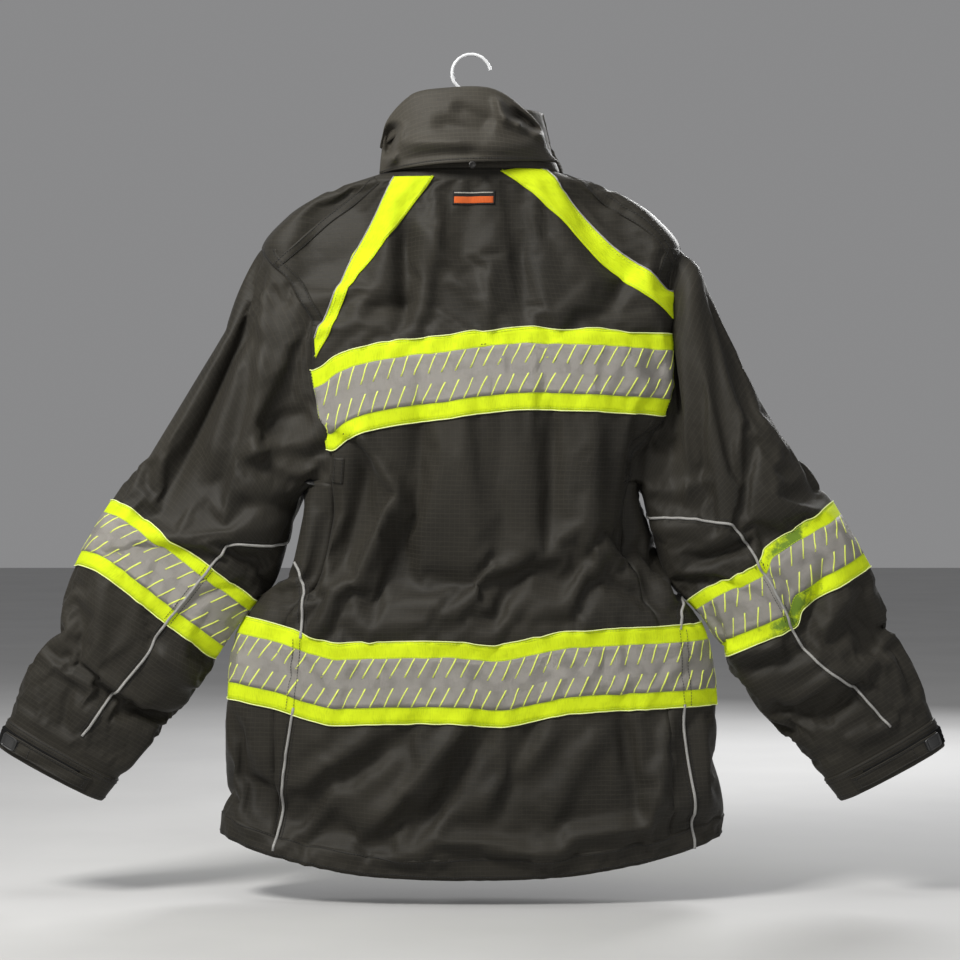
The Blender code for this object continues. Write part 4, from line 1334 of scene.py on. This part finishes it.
def collar_grid():
    """The collar's outer fall, its rolled top and the part that goes down inside."""
    top, edge = (evenly(rounded_path(line, 200, 0.25), COLLAR_COLUMNS) for line in (COLLAR_TOP, COLLAR_EDGE))
    share = np.linspace(-1, 1, COLLAR_COLUMNS)
    wrap = np.sin(np.radians(90 - 74 * share)) ** 0.75
    rows = []
    for r in np.linspace(0, 1, FACE_ROWS):
        flat = edge * (1 - r) + top * r
        depth = COLLAR_DEPTH * wrap * (1 + 0.05 * np.sin(pi * r) - 0.13 * r ** 2) + 0.0030 * (1 - r) ** 3
        rows.append(np.stack([flat[:, 0], -depth, flat[:, 1]], axis=-1))
    crest = rows[-1]
    sideways = -np.sign(crest[:, 0]) * 0.15 * (np.abs(share) > 0.5)
    inwards = np.stack([sideways, wrap * 0 + 1, wrap * 0], axis=-1)
    up = np.array([0.0, 0.0, 1.0])
    for angle in np.linspace(0, pi, 9)[1:]:
        rise = ROLL_RADIUS * sin(angle) * (1 - np.abs(share) ** 4)
        rows.append(crest + inwards * ROLL_RADIUS * (1 - cos(angle)) + up * rise[:, None])
    inner = rows[-1]
    for drop in np.linspace(0, 0.030, 8)[1:]:
        rows.append(inner - up * (drop * (1 - 0.8 * np.abs(share) ** 4))[:, None])
    grid = np.array(rows)
    row = np.arange(len(rows))
    face = smoothstep(6 * row / (FACE_ROWS - 1)) * smoothstep((FACE_ROWS - row) / 6)
    height = COLLAR_GAIN * ridges(grid[..., [0, 2]], np.array(COLLAR_FOLDS) * MM) * face[:, None]
    return grid - np.array([0, 1, 0]) * height[..., None]


def stand_grid(rows=20, columns=180):
    """The collar's stand: from the coat's neckline up to a ring that leans in, open at the front."""
    column = np.linspace(0.0, LAST_COLUMN, columns)
    base = torso.read(column, TORSO_ROWS - 0.05, -0.0012)
    theta = np.interp(column, np.arange(LAST_COLUMN + 1), coat.thetas[-1])
    angle = np.radians(theta)
    depth = np.where(np.sin(angle) >= 0, 0.066, 0.079)
    top = NECK_Z + 0.070 - 0.022 * np.maximum(0, -np.sin(angle)) ** 2
    grid = []
    for r in np.linspace(0, 1, rows):
        lean = 1 - 0.16 * r
        wave = 0.0014 * np.sin(theta * 0.13 + 2 * r) * smoothstep(r / 0.3)
        x = (STAND_HALF_WIDTH * lean + wave) * signed_power(np.cos(angle))
        y = -(depth * lean + wave) * signed_power(np.sin(angle))
        mix = smoothstep(r / 0.34)
        grid.append(np.stack([base[:, 0] * (1 - mix) + x * mix, base[:, 1] * (1 - mix) + y * mix,
                              base[:, 2] + (top - base[:, 2]) * r], axis=-1))
    return np.array(grid)


for name, points, thickness, body, node, held in (
        ("collar_fall", collar_grid(), 0.0022, "collar_flap_body", "collar_flap", "folded"),
        ("collar_stand_cloth", stand_grid(), 0.0026, "coat", "collar_stand", "hung")):
    normals, turned = grid_normals(points)
    piece = Build().grid(points, turned=turned).make(name, COLLAR_CLOTH, thickness)
    attach(piece, body, "collar_cloth", [node])
    as_sheet(piece, points, held=held)
    if body == "collar_flap_body":
        threads = Build()
        stitches(threads, points[2] + normals[2] * 0.0004, normals[2])
        attach(threads.make("collar_threads", THREAD), body, "collar_cloth")


# ---- Cuffs

CUFF_PATCH, CUFF_TAB, CUFF_GRIP = (0.942, 0.988), (0.9455, 0.9845), (0.9475, 0.9825)
TAB_PHI, GRIP_PHI, PATCH_PHI = (33.0, 128.0), (30.0, 54.0), (6.0, 112.0)
# The cuff's turned section, as (t, lift off the sleeve).
CUFF_PROFILE = ((0.925, 0.0004), (0.927, 0.0016), (0.934, 0.0022), (0.944, 0.0024), (0.954, 0.0025),
                (0.964, 0.0025), (0.974, 0.0026), (0.984, 0.0028), (0.993, 0.0030), (1.0, 0.0024),
                (1.0, 0.0004), (1.0, -0.0030), (0.995, -0.0050), (0.985, -0.0058), (0.965, -0.0060),
                (0.945, -0.0060))


def ring_places(t, phi, rows, columns):
    """Places of a grid on a sleeve's end: t, and shares of the girth for angles phi."""
    levels = np.linspace(*t, rows)
    share = np.array([ring_share(level, np.linspace(*phi, columns)) for level in levels])
    return levels[:, None] + np.zeros(share.shape), share


def rounded_rectangle(rows, columns, width, height, radius):
    """Distance inside a rounded rectangle, in metres, over a grid that covers it."""
    u, v = shares(rows, columns)
    x, y = np.abs(u - 0.5) * width, np.abs(v - 0.5) * height
    corner = np.hypot(np.maximum(x - width / 2 + radius, 0), np.maximum(y - height / 2 + radius, 0))
    both = (x > width / 2 - radius) & (y > height / 2 - radius)
    return np.where(both, radius - corner, np.minimum(width / 2 - x, height / 2 - y))


def touched(inside):
    """The faces of a grid with a corner inside the outline."""
    return np.maximum.reduce([inside[:-1, :-1], inside[1:, :-1], inside[:-1, 1:], inside[1:, 1:]]) > 0


def sew_grid(name, points, normals, along, across, body, lift=0.0003):
    """Stitches along some rows and up some columns of a grid of points."""
    build = Build()
    for part in [(row, slice(2, -2)) for row in along] + [(slice(2, -2), column) for column in across]:
        stitches(build, points[part] + normals[part] * lift, normals[part])
    attach(build.make(name, THREAD), body, "shell_cloth")


for side, word in WORD.items():
    arm, body, tab_body = on_sleeve[side], SLEEVE_BODY[side], f"cuff_tab_{word}_body"
    t, lift = (np.repeat(np.array(CUFF_PROFILE)[:, k:k + 1], 140, axis=1) for k in (0, 1))
    share = np.linspace(0, 1, 140, endpoint=False)
    gather = 0.0004 * np.sin(share * 2 * pi * 9) * np.sin(share * 2 * pi * 4 + 1.0) * (t > 0.93)
    points = arm.points(t, share + np.zeros(t.shape), lift + gather)
    arm.cloth(f"cuff_cloth_{word}", points, BLACK, 0.0012, body, "shell_cloth", [f"cuff_{word}"], "folded",
              closed=True)
    threads = Build()
    for level, at in ((0.929, 0.0022), (0.936, 0.0026), (0.986, 0.0031)):
        arm.sew(threads, np.full(share.shape, level), share, at)
    attach(threads.make(f"cuff_threads_{word}", THREAD), body, "shell_cloth")

    # The loop patch: a dense low pile with an uneven top.
    rng = np.random.default_rng(SEED + side)
    inside = rounded_rectangle(46, 110, 0.082, 0.032, 0.004)
    pile = 0.0016 * smoothstep(inside / 0.0016) + 0.0008 * rng.random(inside.shape) * (inside > 0)
    points = arm.points(*ring_places(CUFF_PATCH, PATCH_PHI, 46, 110), 0.0029 + pile)
    arm.cloth(f"loop_patch_{word}", points, PILE, 0.0008, body, "loop_pile", [f"cuff_loop_patch_{word}"],
              "laid", [f"cuff_cloth_{word}"])

    # The tab: a stitched double strap, sewn down at its inner end.
    u, v = shares(22, 80)
    sewn = smoothstep((1 - u) / 0.14)
    wave = 0.0011 * np.sin(u * 9.0 + 0.7) * np.sin(pi * u) + 0.0006 * np.sin(v * 5 + u * 14)
    rim = 0.0006 * smoothstep((0.004 - np.minimum(v, 1 - v) * 0.029) / 0.002)
    places = ring_places(CUFF_TAB, TAB_PHI, 22, 80)
    points = arm.points(*places, 0.0044 + 0.0028 * sewn + rim + wave * sewn)
    arm.cloth(f"cuff_tab_cloth_{word}", points, BLACK, 0.0020, tab_body, "shell_cloth", [f"cuff_tab_{word}"],
              "laid", [f"loop_patch_{word}"])
    sew_grid(f"cuff_tab_threads_{word}", points, arm.both(*places)[1], (2, 19), (18, 30, 74), tab_body)

    # The grip: a moulded rounded rectangle with a raised rim and fine ribs.
    inside = rounded_rectangle(40, 34, 0.018, 0.025, 0.0045)
    v = shares(40, 34)[1]
    rim = smoothstep(inside / 0.0007) * (1 - 0.55 * smoothstep((inside - 0.0016) / 0.0008))
    ribs = 0.00028 * (0.5 + 0.5 * np.cos(v * 2 * pi * 9)) * smoothstep((inside - 0.0030) / 0.0008)
    points = arm.points(*ring_places(CUFF_GRIP, GRIP_PHI, 40, 34), 0.0075 + 0.0019 * rim + ribs)
    arm.cloth(f"cuff_grip_{word}", points, RUBBER, 0.0012, tab_body, "grip_rubber", [f"cuff_tab_grip_{word}"],
              held=None, kept=touched(inside))


# ---- Front: pockets with flaps, zip and wind flap

POCKET_X, POCKET_Z = (0.054, 0.210), (-0.883, -0.790)
FLAP_X, FLAP_Z = (0.049, 0.215), (-0.825, -0.7785)
for side, word in WORD.items():
    u, v = shares(40, 62)
    inside = rounded_rectangle(40, 62, 0.156, 0.093, 0.010)
    body_lift = smoothstep(inside / 0.006) * 0.6 + smoothstep(inside / 0.020) * 0.4
    sag = 0.0010 * np.sin(u * 7 + v * 3) * smoothstep(inside / 0.02)
    x, z = np.meshgrid(side * np.linspace(*POCKET_X, 62), np.linspace(*POCKET_Z, 40))
    points = on_front.points(x, z, np.where(inside > 0, 0.0006 + 0.0040 * body_lift + sag, 0.0003))
    on_front.cloth(f"pocket_cloth_{word}", points, BLACK, 0.0012, *SHELL, [f"pocket_{word}"],
                   kept=touched(inside))
    threads = Build()
    for inset, lift in ((0.0030, 0.0036), (0.0085, 0.0052)):
        x0, x1, low, high = POCKET_X[0] + inset, POCKET_X[1] - inset, POCKET_Z[0] + inset, POCKET_Z[1]
        path = [(side * x0, high), (side * x0, low), (side * x1, low), (side * x1, high)]
        sew_path(threads, on_front, rounded_path(path, 160, 0.06), lift)
    attach(threads.make(f"pocket_threads_{word}", THREAD), *SHELL)

    u, v = shares(22, 66)
    x, z = np.meshgrid(side * np.linspace(*FLAP_X, 66), np.linspace(*FLAP_Z, 22))
    wave = (0.0012 * np.sin(u * 8.0 + 1.0) + 0.0007 * np.sin(u * 19.0)) * (1 - v)
    points = on_front.points(x, z, 0.0086 - 0.0032 * smoothstep((v - 0.75) / 0.25) + wave)
    corners = rounded_rectangle(22, 66, 0.166, 0.052, 0.008)
    corners[11:] = 1.0
    flap_body = f"pocket_flap_{word}_body"
    on_front.cloth(f"pocket_flap_cloth_{word}", points, BLACK, 0.0020, flap_body, "shell_cloth",
                   [f"pocket_flap_{word}"], kept=touched(corners))
    sew_grid(f"pocket_flap_threads_{word}", points, on_front.both(x, z)[1], (2, 17, 20), (2, 63), flap_body)


def flat_cloth(name, node, columns, rows, ripple, material, thickness, slot):
    """A flat hanging strip in the middle of its node, facing the front."""
    low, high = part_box(node)
    x, z = np.meshgrid(np.linspace(low.x, high.x, columns), np.linspace(low.z, high.z, rows))
    points = np.stack([x, (low.y + high.y) / 2 + ripple(x, z), z], axis=-1)
    piece = Build().grid(points, turned=True).make(name, material, thickness, 0.0)
    attach(piece, "coat", slot, [node])
    return piece, points


for word in WORD.values():
    flat_cloth(f"zip_tape_cloth_{word}", f"zip_tape_{word}", 8, 260,
               lambda x, z: 0.0003 * np.sin(z * 120), NYLON, 0.0008, "zip_metal")
as_sheet(*flat_cloth("wind_flap_cloth", "wind_flap", 16, 160,
                     lambda x, z: 0.0012 * np.sin(z * 34) * np.sin(x * 60 + 1), BLACK, 0.0012, "shell_cloth"))

TOOTH_PITCH, TOOTH_HALF = 0.0030, (0.00135, 0.0012)
# A tooth's sections as (distance from the zip's middle, share of its half-height, share of its half-depth).
TOOTH = ((0.0036, 0.55, 0.7), (0.0026, 0.80, 1.0), (0.0010, 0.62, 1.0), (0.0002, 0.95, 1.0),
         (-0.0010, 0.95, 0.95), (-0.0015, 0.6, 0.7))
OCTAGON = np.array([(1, 0.7), (0.6, 1), (-0.6, 1), (-1, 0.7), (-1, -0.7), (-0.6, -1), (0.6, -1), (1, -0.7)])
low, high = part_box("zip_chain")
teeth = Build()
for k in range(int((high.z - low.z) / TOOTH_PITCH)):
    middle = np.array([0.0, (low.y + high.y) / 2, low.z + (k + 0.5) * TOOTH_PITCH])
    teeth.loft([[middle + ((x if k % 2 else -x), y * TOOTH_HALF[1] * deep, z * TOOTH_HALF[0] * wide)
                 for y, z in OCTAGON] for x, wide, deep in TOOTH])
attach(teeth.make("zip_teeth", NYLON), "coat", "zip_metal", ["zip_chain"])


def cast_block(name, node, body, waist=0.0, rows=9):
    """A cast piece with rounded corners in its node's box, narrower at its middle by waist."""
    low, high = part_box(node)
    centre, half = (low + high) / 2, (high - low) / 2
    angle = np.linspace(0, 2 * pi, 28, endpoint=False)
    across, deep = signed_power(np.cos(angle), 0.5), signed_power(np.sin(angle), 0.5)
    rings = []
    for r in np.linspace(-1, 1, rows):
        close = (1 - abs(r) ** 6) ** 0.5 if abs(r) < 1 else 0.55
        pinch = 1 - waist * (1 - r * r)
        rings.append(np.stack([centre.x + half.x * pinch * across * (0.80 + 0.20 * close),
                               centre.y + half.y * deep * (0.70 + 0.30 * close),
                               np.full(28, centre.z + half.z * r)], axis=-1))
    attach(Build().loft(rings).make(name, ZIP), body, "zip_metal", [node])


cast_block("slider_body_cast", "zip_slider", "slider_body", 0.22)
cast_block("pull_cast", "zip_pull", "pull_body", 0.25, rows=15)
cast_block("zip_stop_cast", "zip_stop", "coat")

# Stitching beside the zip, on both plackets.
placket_threads = Build()
for column in (0.35, 1.1, LAST_COLUMN - 0.35, LAST_COLUMN - 1.1):
    line, normals = torso.both(column, np.linspace(1, TORSO_ROWS - 1, 420))
    stitches(placket_threads, line + normals * 0.0002, normals)
attach(placket_threads.make("placket_threads", THREAD), *SHELL)


# ---- Camera, lights and floor

CAMERA_DISTANCE, FRAME_WIDTH, SENSOR = 3.2, 1.100, 36.0
FLOOR_DROP, FLOOR_REACH = 0.03, 12.0
# Each light's place, target, size in metres, watts and colour.
LIGHTS = {"key": ((-1.15, -1.35, 0.95), (0, 0, -0.45), (0.7, 0.6), 62, (1.0, 0.985, 0.95)),
          "fill": ((1.8, -2.0, -0.1), (0, 0, -0.48), (1.2, 1.2), 9, (1, 1, 1)),
          "front_key": ((0.9, 2.1, 0.5), (0, 0, -0.45), (1.0, 0.8), 46, (1, 1, 1)),
          "top": ((-0.2, -0.5, 1.6), (0, 0, -0.48), (1.2, 1.0), 12, (1, 1, 1))}


def make_studio():
    """Soft studio light, a pale floor, and the camera straight behind the coat."""
    scene = bpy.context.scene
    for name, (place, target, size, energy, colour) in LIGHTS.items():
        data = bpy.data.lights.new(name, "AREA")
        data.shape, data.energy, data.color = "RECTANGLE", energy, colour
        data.size, data.size_y = size
        light = bpy.data.objects.new(name, data)
        light.location = place
        light.rotation_euler = (Vector(target) - Vector(place)).to_track_quat("-Z", "Y").to_euler()
        scene.collection.objects.link(light)
    scene.world = bpy.data.worlds.new("studio")
    scene.world.use_nodes = True
    background = scene.world.node_tree.nodes["Background"]
    background.inputs["Color"].default_value = (0.60, 0.60, 0.61, 1.0)
    background.inputs["Strength"].default_value = 0.42
    scene.view_settings.view_transform = "Standard"
    mesh = bpy.data.meshes.new("studio_floor")
    level = cad_bounds[0].z - FLOOR_DROP
    corners = [(x * FLOOR_REACH, y * FLOOR_REACH, level) for x, y in ((-1, -1), (1, -1), (1, 1), (-1, 1))]
    mesh.from_pydata(corners, [], [(0, 1, 2, 3)])
    mesh.materials.append(plain("pale_floor", grey(0.50), grey(0.46), 0.9, specular=0.2, scale=3.0))
    floor = bpy.data.objects.new("studio_floor", mesh)
    scene.collection.objects.link(floor)
    data = bpy.data.cameras.new("camera")
    data.sensor_width = SENSOR
    data.lens = SENSOR * (CAMERA_DISTANCE - 0.04) / FRAME_WIDTH
    data.clip_end = 60.0
    camera = bpy.data.objects.new("camera", data)
    camera.location = (0.010, -CAMERA_DISTANCE, -0.492)
    camera.rotation_euler = (radians(90), 0, 0)
    scene.collection.objects.link(camera)
    scene.camera = camera


make_studio()
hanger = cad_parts["wire_hanger"].data
hanger.materials.clear()
hanger.materials.append(WIRE)
